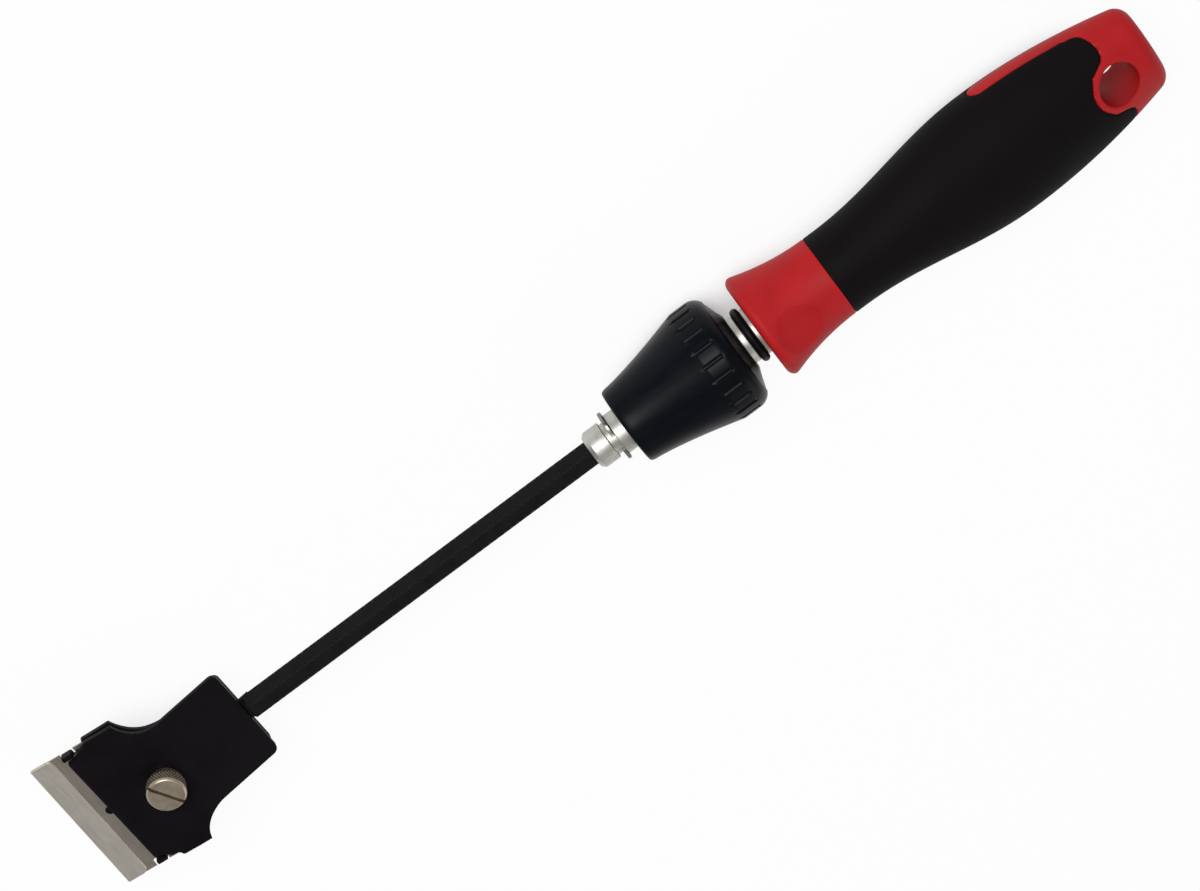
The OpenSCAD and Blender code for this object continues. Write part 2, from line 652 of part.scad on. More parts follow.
module blade() color("#8f8981") on_blade() difference() {
    edge = blade_u - blade_h;
    translate([0, blade_w / 2, face_gap]) rotate([90, 0, 0]) linear_extrude(blade_w)
        polygon([[edge, blade_t / 2], [edge + 1.2, 0], [blade_u - 0.2, 0], [blade_u - 0.2, blade_t],
            [edge + 1.2, blade_t]]);
    for (s = [-1, 1]) translate([ear_u - ear_l / 2 - notch_clear, s * blade_w / 2 - notch_depth, -1])
        cube([ear_l + 2 * notch_clear, 2 * notch_depth, 3]);
    translate([pin_u, 0, -1]) cylinder(h = 3, r = pin_d / 2 + 0.15);
}

module blade_spine() color("#b9b4ab") on_blade() difference() {
    low = face_gap + blade_t / 2 - spine_t / 2;
    translate([blade_u - spine_h, 0, low]) linear_extrude(spine_t) polygon(mirrored(concat(
        arc([1.5, blade_w / 2 - 1.5], 1.5, 180, 90, 6), [[spine_h - 0.2, blade_w / 2], [spine_h, blade_w / 2 - 0.2]])));
    translate([blade_u - spine_h - 1, -blade_w, face_gap - press_clear])
        cube([spine_h + 0.8, 2 * blade_w, blade_t + 2 * press_clear]);
}

module thumb_screw() color("#c9bfae") on_slope() {
    seat = plate_gap + plate_t;
    top = seat + screw_collar_h + head_h;
    shank_l = seat + screw_turns * screw_pitch + thread_hold;
    translate([0, 0, seat - shank_l]) cylinder(h = shank_l + eps, d = screw_d);
    translate([0, 0, seat]) cylinder(h = screw_collar_h, d = screw_collar_d);
    difference() {
        intersection() {
            translate([0, 0, seat + screw_collar_h]) linear_extrude(head_h)
                polygon([for (i = [0:2 * knurl_n - 1]) let (a = 180 * i / knurl_n, r = head_d / 2 - (i % 2) * 0.25)
                    r * [cos(a), sin(a)]]);
            translate([0, 0, seat + screw_collar_h]) rotate_extrude() polygon([[0, 0], [head_d / 2 - 0.4, 0],
                [head_d / 2 + 0.1, 0.5], [head_d / 2 + 0.1, head_h - 0.7], [head_d / 2 - 0.6, head_h], [0, head_h]]);
        }
        rotate([0, 0, slot_a]) translate([-big / 2, -slot_w / 2, top - 1.3]) cube([big, slot_w, 2]);
    }
}

handle_core();
grip();
chuck_body();
snap_ring();
o_ring();
seat_washer();
release_spring();
slip_washer();
lock_sleeve();
cam_ring();
front_bush();
lock_ball_1();
lock_ball_2();
lock_ball_3();
shaft();
shaft_stop();
stop_pin();
base_plate();
tongue_rivets();
clinch_nut();
locating_pin();
blade();
blade_spine();
clamp_plate();
thumb_screw();
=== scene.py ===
# %% [markdown]
# # A long-reach blade scraper, dressed for its picture
# The tool is a red and black screwdriver-like handle, a black lock sleeve, a hexagonal shaft
# and a head of two stamped plates that clamp a single-edge blade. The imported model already
# gives every piece its place, so this script only makes what the eye sees: smooth skins,
# rounded edges, fine notches and knurls, and the finish of each material.

# %% Load the fixed frame
import bmesh
import bpy
from math import acos, ceil, cos, degrees, hypot, pi, radians, sin, sqrt, tan
from mathutils import Matrix, Vector


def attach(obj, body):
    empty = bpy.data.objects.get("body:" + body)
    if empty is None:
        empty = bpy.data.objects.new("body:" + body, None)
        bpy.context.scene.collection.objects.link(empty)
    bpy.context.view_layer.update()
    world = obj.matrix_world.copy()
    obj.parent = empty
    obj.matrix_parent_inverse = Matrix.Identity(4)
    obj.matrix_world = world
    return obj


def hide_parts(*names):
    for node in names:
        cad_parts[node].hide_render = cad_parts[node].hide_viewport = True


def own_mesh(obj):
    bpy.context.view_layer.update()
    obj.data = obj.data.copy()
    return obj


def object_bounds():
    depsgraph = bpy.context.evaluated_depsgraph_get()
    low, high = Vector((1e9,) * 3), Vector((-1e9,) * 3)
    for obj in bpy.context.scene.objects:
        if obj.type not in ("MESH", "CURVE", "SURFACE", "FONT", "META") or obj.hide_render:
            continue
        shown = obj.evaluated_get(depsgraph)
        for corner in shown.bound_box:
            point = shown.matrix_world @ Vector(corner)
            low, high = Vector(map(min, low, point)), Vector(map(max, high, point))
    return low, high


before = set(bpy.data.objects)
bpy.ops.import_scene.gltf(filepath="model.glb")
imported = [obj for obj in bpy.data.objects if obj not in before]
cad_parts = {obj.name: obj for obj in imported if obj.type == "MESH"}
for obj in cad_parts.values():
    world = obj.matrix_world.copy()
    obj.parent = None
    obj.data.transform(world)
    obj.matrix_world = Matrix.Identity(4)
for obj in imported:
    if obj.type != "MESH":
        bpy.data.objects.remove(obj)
cad_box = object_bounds()
MM = 0.001
print("CAD box, mm:", [[round(v / MM, 1) for v in corner] for corner in cad_box])

# %% [markdown]
# ## Camera
# The tool was photographed from about 60 degrees above and lies across the picture. The joint
# between grip and collar shows as a straight line, so the camera stood square to that place. It
# is turned from there to look at the middle of the frame, and rolled so that the shaft runs
# down to the left.

# %% Place the camera
PICTURE_SIZE = (1200, 891)
PIXELS_PER_MM = 4.386
CAMERA_DISTANCE = 980 * MM
STAND_X = 86 * MM
FRAME_X = 142.7 * MM
AXIS_SHIFT = -0.14 * MM
FROM_ABOVE = Vector((0, -0.5, 0.8660254))
SENSOR_WIDTH = 36


def on_axis(x):
    """A point of the tool's axis, moved across the picture by AXIS_SHIFT."""
    return Vector((x, 0.866 * AXIS_SHIFT, 0.5 * AXIS_SHIFT))


camera = bpy.data.objects.new("camera", bpy.data.cameras.new("camera"))
bpy.context.scene.collection.objects.link(camera)
right = Vector((-0.803, 0.516, 0.298)).normalized()
place = on_axis(STAND_X) + FROM_ABOVE * CAMERA_DISTANCE
back = (place - on_axis(FRAME_X)).normalized()
up = back.cross(right).normalized()
right = up.cross(back).normalized()
turned = Matrix((right, up, back)).transposed().to_4x4()
camera.matrix_world = Matrix.Translation(place) @ turned
camera.data.sensor_width = SENSOR_WIDTH
camera.data.lens = PIXELS_PER_MM / MM * SENSOR_WIDTH * CAMERA_DISTANCE / PICTURE_SIZE[0]
camera.data.clip_start = 0.05
bpy.context.scene.camera = camera
print("focal length, mm:", round(camera.data.lens, 1))

# %% [markdown]
# ## Small helpers for nodes
# Shader trees and geometry trees are built the same way: add a node, set what its panel shows,
# fill or link its inputs. One function does all three, so every tree below reads as a recipe.

# %% One function that adds a node, and its part that fills the inputs
def fill(tree, node, inputs):
    """Links each named input to a socket, or sets it to a value."""
    for name, value in inputs.items():
        if isinstance(value, bpy.types.NodeSocket):
            tree.links.new(value, node.inputs[name])
        else:
            node.inputs[name].default_value = value
    return node


def add(tree, kind, inputs=None, **panel):
    node = tree.nodes.new(kind)
    for name, value in panel.items():
        setattr(node, name, value)
    return fill(tree, node, inputs or {})


def srgb(text):
    """The linear colour of an sRGB hex value, which is what shaders expect."""
    parts = [int(text[i:i + 2], 16) / 255 for i in (1, 3, 5)]
    return [p / 12.92 if p <= 0.04045 else ((p + 0.055) / 1.055) ** 2.4 for p in parts] + [1]


# %% [markdown]
# ## Finishes
# Each material starts from its real name and how it was made. Patterns read Object
# coordinates, which are metres here, so a noise scale is one over the size of its grain.

# %% A material with a shader to fill in
def start_material(name):
    material = bpy.data.materials.new(name)
    material.use_nodes = True
    tree = material.node_tree
    shader = tree.nodes["Principled BSDF"]
    place = add(tree, "ShaderNodeTexCoord").outputs["Object"]
    print("finish:", name)
    return material, tree, shader, place


def grain(tree, place, size, detail=2, stretch=(1, 1, 1)):
    """Noise whose lumps are about size metres across."""
    scaled = add(tree, "ShaderNodeMapping", {"Vector": place, "Scale": stretch})
    noise = add(tree, "ShaderNodeTexNoise",
                {"Vector": scaled.outputs[0], "Scale": 1 / size, "Detail": detail})
    return noise.outputs["Fac"]


def blend(tree, factor, low, high, start=0.3, stop=0.7):
    """Fades from low to high, colours or numbers, while factor goes from start to stop."""
    if isinstance(low, (int, float)):
        fade = add(tree, "ShaderNodeMapRange",
                   {"Value": factor, "From Min": start, "From Max": stop,
                    "To Min": low, "To Max": high})
        return fade.outputs[0]
    ramp = add(tree, "ShaderNodeValToRGB", {"Fac": factor})
    ramp.color_ramp.elements[0].position = start
    ramp.color_ramp.elements[0].color = low
    ramp.color_ramp.elements[1].position = stop
    ramp.color_ramp.elements[1].color = high
    return ramp.outputs[0]


def bump(tree, height, depth, strength=1):
    """A normal that stands for a surface depth metres deep."""
    relief = add(tree, "ShaderNodeBump", {"Height": height, "Distance": depth, "Strength": strength})
    return relief.outputs[0]


# %% [markdown]
# ### Two kinds of finish
# Most of these surfaces have slow patches of slightly different colour and gloss over a fine
# grain. Turned or rolled metal has lines in one direction instead of the grain. Trees written
# out one by one would repeat the same nodes, so each kind is one function, with sizes in mm.

# %% The two kinds
def uneven(name, patch, colours, roughness, fine, depth, specular=None, **noise):
    """Patches over a grain that is fine mm across. Without specular it is bare metal."""
    material, tree, shader, place = start_material(name)
    patches = grain(tree, place, patch * MM, **noise)
    fill(tree, shader, {
        "Base Color": blend(tree, patches, *map(srgb, colours)),
        "Roughness": blend(tree, patches, *roughness),
        "Normal": bump(tree, grain(tree, place, fine * MM), depth * MM),
        **({"Specular IOR Level": specular} if specular else {"Metallic": 1}),
    })
    return material


def lined_metal(name, lines, stretch, patch, colours, roughness, depth, detail=1):
    material, tree, shader, place = start_material(name)
    marks = grain(tree, place, lines * MM, detail, stretch)
    patches = grain(tree, place, patch * MM)
    fill(tree, shader, {
        "Base Color": blend(tree, patches, *map(srgb, colours)),
        "Roughness": blend(tree, marks, *roughness),
        "Normal": bump(tree, marks, depth * MM),
        "Metallic": 1,
    })
    return material


# %% [markdown]
# ### Red ABS of the handle core
# Moulded ABS with a fine spark-eroded texture: the red is even, and the gloss is broken into a
# soft sheen. Two sizes of noise do it: a grain far too small to see, drawn 0.25 mm coarse so
# that it shows, and slow patches of slightly different gloss from handling.

# %% Red ABS
RED = uneven("moulded_red_abs", patch=9, colours=("#a9181c", "#b51c20"), roughness=(0.5, 0.58),
             fine=0.25, depth=0.006, specular=0.16)

# %% [markdown]
# ### Black thermoplastic rubber of the grip
# Overmoulded rubber is matt and nearly black, with faint patches where hands polish it. One
# even black would look flat, so the patches vary its gloss.

# %% Black grip rubber
GRIP = uneven("overmoulded_black_rubber", patch=14, colours=("#0a0708", "#0f0b0d"),
              roughness=(0.62, 0.74), fine=0.3, depth=0.01, specular=0.08)

# %% [markdown]
# ### Black acetal of the lock sleeve
# Acetal is harder and slicker than the grip, with a cold blue-black tone. The photograph shows
# soft streaks along the sleeve, which are flow lines of the moulding, so the noise is
# stretched along X.

# %% Blue-black acetal
ACETAL = uneven("moulded_black_acetal", patch=1.4, colours=("#05070c", "#090b11"),
                roughness=(0.3, 0.4), fine=0.3, depth=0.006, specular=0.1, detail=3,
                stretch=(0.08, 1, 1))

# %% [markdown]
# ### Turned aluminium, ground steel and nickel
# Bare metals get their look from what they reflect. Lathe marks run round the X axis, so
# their noise is squeezed along X and changes only with it: fine rings, drawn 0.12 mm apart
# where the real ones are a third of that.

# %% Metals
LATHE = (1, 0.01, 0.01)
ALUMINIUM = lined_metal("turned_aluminium", 0.12, LATHE, patch=3, colours=("#b9b8b1", "#c8c7c0"),
                        roughness=(0.41, 0.55), depth=0.004)
GROUND = lined_metal("ground_steel", 0.2, LATHE, patch=3, colours=("#8f8f8e", "#a5a5a3"),
                     roughness=(0.19, 0.33), depth=0.001)
SPRING = lined_metal("oiled_spring_steel", 0.3, LATHE, patch=3, colours=("#6d6b66", "#8b8983"),
                     roughness=(0.26, 0.4), depth=0.001)
NICKEL = uneven("nickel_plated_brass", patch=2.5, colours=("#b3a58f", "#c4b7a2"),
                roughness=(0.36, 0.46), fine=0.3, depth=0.003)
# The knurl's beads take the nickel painted darker: painted shade for the grooves of the knurl.
KNURL_PAINTED_SHADE = uneven("nickel_painted_darker_for_knurl_shade", patch=2.5, colours=("#6a6256", "#7d7467"),
                 roughness=(0.5, 0.6), fine=0.3, depth=0.003)

# %% [markdown]
# ### Blade steel
# Rolled strip steel is greyer than the aluminium. Its rolling lines run along the blade, which
# is Y here. The folded spine has the same steel, painted much lighter as painted light on the
# raised fold.

# %% Rolled blade steel
ROLLED = (1, 0.05, 1)
BLADE = lined_metal("rolled_blade_steel", 0.35, ROLLED, patch=5, colours=("#aca398", "#b8afa4"),
                    roughness=(0.33, 0.46), depth=0.004, detail=2)
# The spine is the blade steel painted lighter: painted light on the raised fold.
SPINE_PAINTED_LIGHTER = lined_metal("folded_spine_steel_painted_lighter", 0.35, ROLLED, patch=5, colours=("#dcd5ca", "#e6dfd4"),
                    roughness=(0.39, 0.52), depth=0.004, detail=2)

# %% [markdown]
# ### Blacked steel and the O-ring
# The shaft is black oxide on steel, matt and slightly oily. The plates have a purple-black
# lacquer film with half a gloss. The O-ring is smooth nitrile rubber: it has no grain to see,
# so its short tree is written out.

# %% Black oxide, black lacquer and nitrile
OXIDE = uneven("black_oxide_steel", patch=4, colours=("#0c0c0c", "#131313"), roughness=(0.5, 0.64),
               fine=0.35, depth=0.008, specular=0.12)
LACQUER = uneven("black_lacquered_steel", patch=6, colours=("#0c080c", "#110c12"),
                 roughness=(0.46, 0.56), fine=0.4, depth=0.006, specular=0.08)
NITRILE, tree, shader, place = start_material("black_nitrile_rubber")
fill(tree, shader, {
    "Base Color": blend(tree, grain(tree, place, 2 * MM), srgb("#0b0909"), srgb("#121010")),
    "Roughness": 0.45,
    "Specular IOR Level": 0.12,
})

# %% [markdown]
# ## Helpers for skins
# Almost every piece here is a skin stretched over rings of points: a lathe turning, a loft or
# a strip. Blender's Screw modifier could turn the round ones, but a skin made in code also
# takes flutes, notches and flats, because each point can be moved before the faces are made.

# %% Turn rings of points into a mesh
def new_piece(name, points, faces, material, sharp=35):
    mesh = bpy.data.meshes.new(name)
    mesh.from_pydata([(x * MM, y * MM, z * MM) for x, y, z in points], [], faces)
    mesh.validate()
    mesh.materials.append(material)
    mesh.shade_smooth()
    mesh.set_sharp_from_angle(angle=radians(sharp))
    piece = bpy.data.objects.new(name, mesh)
    bpy.context.scene.collection.objects.link(piece)
    return piece


def bands(rings, count, closed=False):
    """The quads between rings of count points, each ring's side first. closed joins last to first."""
    pairs = [(i, i + 1) for i in range(rings - 1)] + ([(rings - 1, 0)] if closed else [])
    return [(a * count + j, a * count + (j + 1) % count, b * count + (j + 1) % count, b * count + j)
            for a, b in pairs for j in range(count)]


def loft(name, sections, material, flip=False):
    """Bands over sections of equal length, with a flat cap at each end. flip turns the faces over."""
    n = len(sections[0])
    end = (len(sections) - 1) * n
    faces = bands(len(sections), n) + [tuple(range(n))[::-1], tuple(end + j for j in range(n))]
    points = [p for section in sections for p in section]
    return new_piece(name, points, [f[::-1] for f in faces] if flip else faces, material)


def skin(name, rings, material, first=None, last=None, closed=False, sharp=35):
    """Skins rings of equal length, whose points run anticlockwise seen from +X, from low X on.
    first and last are pole points that close the ends; closed joins the last ring to the first."""
    count = len(rings[0])
    points = [p for ring in rings for p in ring]
    faces = bands(len(rings), count, closed)
    if first is not None:
        points.append(first)
        faces += [(len(points) - 1, (j + 1) % count, j) for j in range(count)]
    if last is not None:
        points.append(last)
        start = (len(rings) - 1) * count
        faces += [(len(points) - 1, start + j, start + (j + 1) % count) for j in range(count)]
    return new_piece(name, points, faces, material, sharp)


def ring_at(x, radius, sides):
    """A ring round the X axis. radius is a number or a function of the angle."""
    ring = []
    for j in range(sides):
        a = 2 * pi * j / sides
        r = radius(a) if callable(radius) else radius
        ring.append((x, r * cos(a), r * sin(a)))
    return ring


def rounded(corners, steps=5):
    """A profile from (x, r, fillet radius) corners, with each fillet as a short arc."""
    out = [corners[0][:2]]
    for before, here, after in zip(corners, corners[1:], corners[2:]):
        p, radius = Vector(here[:2]), here[2]
        a, b = Vector(before[:2]) - p, Vector(after[:2]) - p
        angle = a.angle(b)
        cut = min(radius / tan(angle / 2), 0.49 * min(a.length, b.length)) if radius else 0
        if cut < 1e-4:
            out.append(tuple(p))
            continue
        start, stop = p + a.normalized() * cut, p + b.normalized() * cut
        for i in range(steps + 1):
            t = i / steps
            out.append(tuple(start * (1 - t) ** 2 + p * 2 * t * (1 - t) + stop * t * t))
    out.append(corners[-1][:2])
    return out


def arc(cx, cy, r, start, stop, steps):
    return [(cx + r * cos(radians(start + (stop - start) * i / steps)),
             cy + r * sin(radians(start + (stop - start) * i / steps))) for i in range(steps + 1)]


def turning(name, corners, material, sides=96, closed=False, sharp=35):
    """A piece turned round the X axis from (x, r, fillet) corners, from low X over the outside."""
    profile = rounded(corners)
    rings = [ring_at(x, r, sides) for x, r in profile]
    if closed:
        return skin(name, rings, material, closed=True, sharp=sharp)
    return skin(name, rings, material, (profile[0][0], 0, 0), (profile[-1][0], 0, 0), sharp=sharp)


def lay_down(piece, start):
    """Lays a piece that was made along Z down along X, from start mm on."""
    for v in piece.data.vertices:
        x, y, z = v.co
        v.co = (start * MM + z, x, y)
    return piece


def dress(piece, body, slot, *nodes):
    """Puts a finished piece on its body, in place of the solids that it stands for."""
    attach(piece, body)
    if nodes:
        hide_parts(*nodes)
    print(piece.name, len(piece.data.polygons), "faces")
    return piece


def cut(piece, cutter):
    """Takes cutter's volume out of piece, and removes cutter."""
    modifier = piece.modifiers.new("cut", "BOOLEAN")
    modifier.operation = "DIFFERENCE"
    modifier.solver = "EXACT"
    modifier.object = cutter
    bake(piece)
    bpy.data.objects.remove(cutter)
    return piece


def bake(piece, sharp=35):
    """Turns a piece's modifiers into its own mesh."""
    evaluated = piece.evaluated_get(bpy.context.evaluated_depsgraph_get())
    mesh = bpy.data.meshes.new_from_object(evaluated)
    piece.modifiers.clear()
    piece.data = mesh
    mesh.shade_smooth()
    mesh.set_sharp_from_angle(angle=radians(sharp))
    return piece


def smooth_step(t):
    t = min(max(t, 0), 1)
    return t * t * (3 - 2 * t)


# %% [markdown]
# ## Handle
# The handle is an oval body, 32 by 25 mm at its belly, that narrows to a round waist. The hard
# red core shows at both ends, along the sides and round the hanging hole, and soft black
# rubber is moulded over the rest. Both skins come from one oval surface. A distance to the
# border between the two, worked out for each point, sinks the skin on the far side of the
# border, so that the two meet in a fine groove. Cutting one body along the border with a
# boolean would leave no such groove.

# %% The oval body
TAIL_X, TAIL_ROUND = -11.3, 3.0
BELLY_X, WAIST_X, COLLAR_X, FRONT_X = 30.3, 74.8, 77.7, 98.2
WAIST_R, BELLY_A, BELLY_B, TAIL_A, TAIL_B = 10.35, 16.2, 12.7, 10.8, 6.8
HOLE_R, RING_R = 5.15, 6.75
LOBE_X, LOBE_R = 4.0, 4.4
STRIP_HALF, STRIP_X, STRIP_DROP = 2.85, 25.85, 0.95


def oval(x):
    """Half width and half height of the handle at x."""
    if x >= WAIST_X:
        return WAIST_R, WAIST_R
    if x > BELLY_X:
        swell = (1 - cos(pi * (WAIST_X - x) / (WAIST_X - BELLY_X))) / 2
        return WAIST_R + (BELLY_A - WAIST_R) * swell, WAIST_R + (BELLY_B - WAIST_R) * swell
    taper = ((BELLY_X - x) / (BELLY_X - TAIL_X)) ** 2
    inset = 0
    if x < TAIL_X + TAIL_ROUND:
        inset = TAIL_ROUND - sqrt(max(0, TAIL_ROUND ** 2 - (TAIL_X + TAIL_ROUND - x) ** 2))
    return (BELLY_A - (BELLY_A - TAIL_A) * taper - inset,
            BELLY_B - (BELLY_B - TAIL_B) * taper - inset)


def soft_min(a, b, width):
    """The lesser of two distances, with the corner between them rounded."""
    h = max(width - abs(a - b), 0) / width
    return min(a, b) - h * h * width / 4


def inside_grip(x, y, z):
    """Distance in mm to the border of the rubber, positive where the rubber is."""
    lobe = LOBE_R - hypot(x - LOBE_X, abs(y) - HOLE_R - LOBE_R - 0.1)
    plan = soft_min(max(x - LOBE_X, lobe), hypot(x, y) - RING_R, 1.6)
    z += STRIP_DROP
    strip = (abs(z) if x < STRIP_X else hypot(x - STRIP_X, z)) - STRIP_HALF
    return min(soft_min(plan, strip, 1.2), COLLAR_X - x)


# %% The groove between the two
GROOVE_DEPTH, GROOVE_HALF, SUNK = 0.22, 0.45, 1.5


def sink(distance):
    """How far a skin lies under the oval, from the distance inside its own area."""
    if distance >= GROOVE_HALF:
        return 0
    if distance >= 0:
        return GROOVE_DEPTH * (1 - sqrt(1 - (1 - distance / GROOVE_HALF) ** 2))
    return min(GROOVE_DEPTH - distance * 4, SUNK)


def handle_ring(x, side, sides):
    """One ring of a skin: side is 1 for the rubber and -1 for the core."""
    a, b = oval(x)
    ring = []
    for j in range(sides):
        t = 2 * pi * j / sides
        y, z = a * cos(t), b * sin(t)
        normal = Vector((y / a ** 2, z / b ** 2)).normalized()
        low = sink(side * inside_grip(x, y, z))
        ring.append((x, y - normal.x * low, z - normal.y * low))
    return ring


def stations(*stretches):
    """X positions over (start, stop, step) stretches that follow on each other."""
    out = [stretches[0][0]]
    for start, stop, step in stretches:
        n = max(1, ceil((stop - start) / step))
        out += [start + (stop - start) * (i + 1) / n for i in range(n)]
    return out


SIDES = 256
tail = [TAIL_X + TAIL_ROUND * (1 - sin(radians(a))) for a in range(90, 0, -10)]
body = stations((TAIL_X + TAIL_ROUND, 29, 0.42), (29, 76.6, 1.2), (76.6, COLLAR_X + 0.6, 0.15))
print("rings of the handle:", len(tail) + len(body))

# %% [markdown]
# ### The red core
# In front of the grip the core flares into a collar with a shallow thumb hollow above and
# below. The hollow is a wide arc laid across the collar, so its floor is a height that the
# flare is pressed down to, with a soft edge. The hanging hole has a rolled rim. Its cutter
# follows the oval's own height all round, because a plain turned funnel would bite deeper
# into the crown of the oval than into its sides.

# %% Collar with thumb hollows
FLARE_R, FLARE_GAP, RIM_R, RIM_FLARE = 13.45, 0.12, 2.0, 70
HOLLOW_X, HOLLOW_R, HOLLOW_Z = FRONT_X - 10.3, 11.4, 10.1
RIM_X = FRONT_X - RIM_R
SEAT_END, SEAT_R, CAVITY_R, CAVITY_END = 70.2, 6.08, 4.5, 11.45
HOLLOW_EDGE = 0.25


def flare(x):
    t = (x - COLLAR_X) / (RIM_X - COLLAR_X)
    return WAIST_R + (FLARE_R - FLARE_GAP - WAIST_R) * t * t


def hollowed(ring):
    """Presses a ring down to the floor of the thumb hollows, with a soft edge."""
    out = []
    for x, y, z in ring:
        off = x - HOLLOW_X
        floor = HOLLOW_Z + HOLLOW_R - sqrt(max(0, HOLLOW_R ** 2 - off ** 2))
        low = soft_min(abs(z), floor, HOLLOW_EDGE) if abs(off) < HOLLOW_R else abs(z)
        out.append((x, y, low * (1 if z > 0 else -1)))
    return out


def collar_rings():
    profile = [(x, flare(x)) for x in stations((COLLAR_X + 0.9, RIM_X, 0.3))]
    lip = [(RIM_X + RIM_R * cos(radians(a)), FLARE_R - RIM_R + RIM_R * sin(radians(a)))
           for a in range(RIM_FLARE, -1, -7)]
    face = [(FRONT_X, 9), (FRONT_X, 6.4), (FRONT_X - 0.2, SEAT_R), (SEAT_END, SEAT_R),
            (SEAT_END, CAVITY_R), (CAVITY_END, CAVITY_R)]
    return [hollowed(ring_at(x, r, SIDES)) if r > 9 else ring_at(x, r, SIDES)
            for x, r in profile + lip + face]


# %% The core's skin, and the hanging hole through it
HOLE_RIM, HOLE_SIDES = 0.45, 96


def hole_cutter():
    arch = [(HOLE_R + HOLE_RIM * (1 - cos(radians(a))), HOLE_RIM * (1 - sin(radians(a))))
            for a in range(0, 76, 15)]
    rings = []
    for turn in (-1, 1):
        stretch = []
        for r, drop in [(HOLE_R, 1.6)] + arch + [(HOLE_R + HOLE_RIM + 0.1, -3)]:
            ring = []
            for j in range(HOLE_SIDES):
                t = 2 * pi * j / HOLE_SIDES
                x, y = r * cos(t), r * sin(t)
                a, b = oval(x)
                ring.append((x, y, turn * (b * sqrt(1 - (y / a) ** 2) - drop)))
            stretch.append(ring)
        rings += stretch if turn == 1 else stretch[::-1]
    return loft("hole_cutter", rings, RED)


end_ring = handle_ring(TAIL_X, -1, SIDES)
end_cap = [[(TAIL_X, y * f, z * f) for _, y, z in end_ring] for f in (0.15, 0.45, 0.75)]
oval_rings = [handle_ring(x, -1, SIDES) for x in tail + body]
core = skin("handle_core_skin", end_cap + oval_rings + collar_rings(), RED, (TAIL_X, 0, 0),
            (CAVITY_END, 0, 0))
dress(cut(core, hole_cutter()), "handle", "red_plastic", "handle_core")


# %% [markdown]
# ### The rubber grip
# The grip takes only the faces of the oval that lie inside the border and a little past it,
# and a Solidify modifier gives this sheet its wall, so that the piece is a closed shell.

# %% The grip's skin
GRIP_WALL, GRIP_OVERLAP = 1.3, 0.62


def grip_shell():
    rings = [handle_ring(x, 1, SIDES) for x in body]
    points = [p for ring in rings for p in ring]
    kept = []
    for i in range(len(rings) - 1):
        for j in range(SIDES):
            k = (j + 1) % SIDES
            face = (i * SIDES + j, i * SIDES + k, (i + 1) * SIDES + k, (i + 1) * SIDES + j)
            if all(inside_grip(*points[v]) > -GRIP_OVERLAP for v in face):
                kept.append(face)
    used = sorted({v for face in kept for v in face})
    index = {v: n for n, v in enumerate(used)}
    faces = [tuple(index[v] for v in face) for face in kept]
    piece = new_piece("grip_skin", [points[v] for v in used], faces, GRIP)
    wall = piece.modifiers.new("wall", "SOLIDIFY")
    wall.thickness = GRIP_WALL * MM
    wall.offset = -1
    return bake(piece)


dress(grip_shell(), "handle", "soft_grip", "grip")

# %% [markdown]
# ## Chuck body, snap ring and O-ring
# The aluminium body shows in front of the sleeve as a chamfered nose with a groove behind it,
# and behind the sleeve as a short land with the rubber O-ring. It is a plain turning with a
# hexagonal bore. Small fillets on its corners catch the light, as a deburred edge does.

# %% Turn the chuck body
NOSE_X, GROOVE_X, SHOULDER_X, STEP_X, BODY_X = 145.2, 140.3, 138.25, 112.0, 70.2
REAR_R, FRONT_LAND_R, SNAP_GROOVE_R, NOSE_R = 6.05, 5.25, 4.1, 4.8
O_RING_X, O_RING_MID, O_RING_WIRE, O_GROOVE_R, O_GROOVE_HALF = 100.2, 6.15, 1.03, 5.1, 1.1
TAIL_BORE_R, TAIL_BORE_END, HEX_BORE_X = 4.3, 108.0, STEP_X - 4.2
HEX_BORE_R = 6.1 / sqrt(3)


def chuck_body():
    near, far = O_RING_X - O_GROOVE_HALF, O_RING_X + O_GROOVE_HALF
    outside = [(BODY_X, 0.01), (BODY_X, REAR_R, 0.3), (near, REAR_R, 0.15), (near, O_GROOVE_R, 0.1),
               (far, O_GROOVE_R, 0.1), (far, REAR_R, 0.15), (STEP_X, REAR_R, 0.15),
               (STEP_X, FRONT_LAND_R, 0), (SHOULDER_X, FRONT_LAND_R, 0.25),
               (SHOULDER_X, SNAP_GROOVE_R, 0.1), (GROOVE_X, SNAP_GROOVE_R, 0.15),
               (GROOVE_X, NOSE_R, 0.2), (NOSE_X - 1.0, NOSE_R, 0.25), (NOSE_X, 3.95, 0.2),
               (NOSE_X, 0.01)]
    piece = turning("chuck_body_skin", outside, ALUMINIUM, 128, sharp=30)
    start, end = HEX_BORE_X, NOSE_X + 1
    bore = [ring_at(x, HEX_BORE_R, 6) for x in (start, end)]
    cut(piece, skin("bore", bore, RED, (start, 0, 0), (end, 0, 0)))
    tail_bore = turning("tail_bore", [(BODY_X - 1, 0.01), (BODY_X - 1, TAIL_BORE_R, 0),
                                      (TAIL_BORE_END, TAIL_BORE_R, 0), (TAIL_BORE_END, 0.01)], RED)
    return cut(piece, tail_bore)


dress(chuck_body(), "handle", "aluminium", "chuck_body")

# %% [markdown]
# The snap ring is an open ring of flat spring steel. Its two tips are drawn out thinner, and
# the opening faces the upper plate's side. It is a band swept along an arc, thinner at the tips.

# %% Sweep the snap ring
SNAP_T, SNAP_IN, SNAP_OUT, SNAP_EDGE = 0.8, 4.2, 6.4, 0.12
SNAP_FROM, SNAP_TO = 119, 421


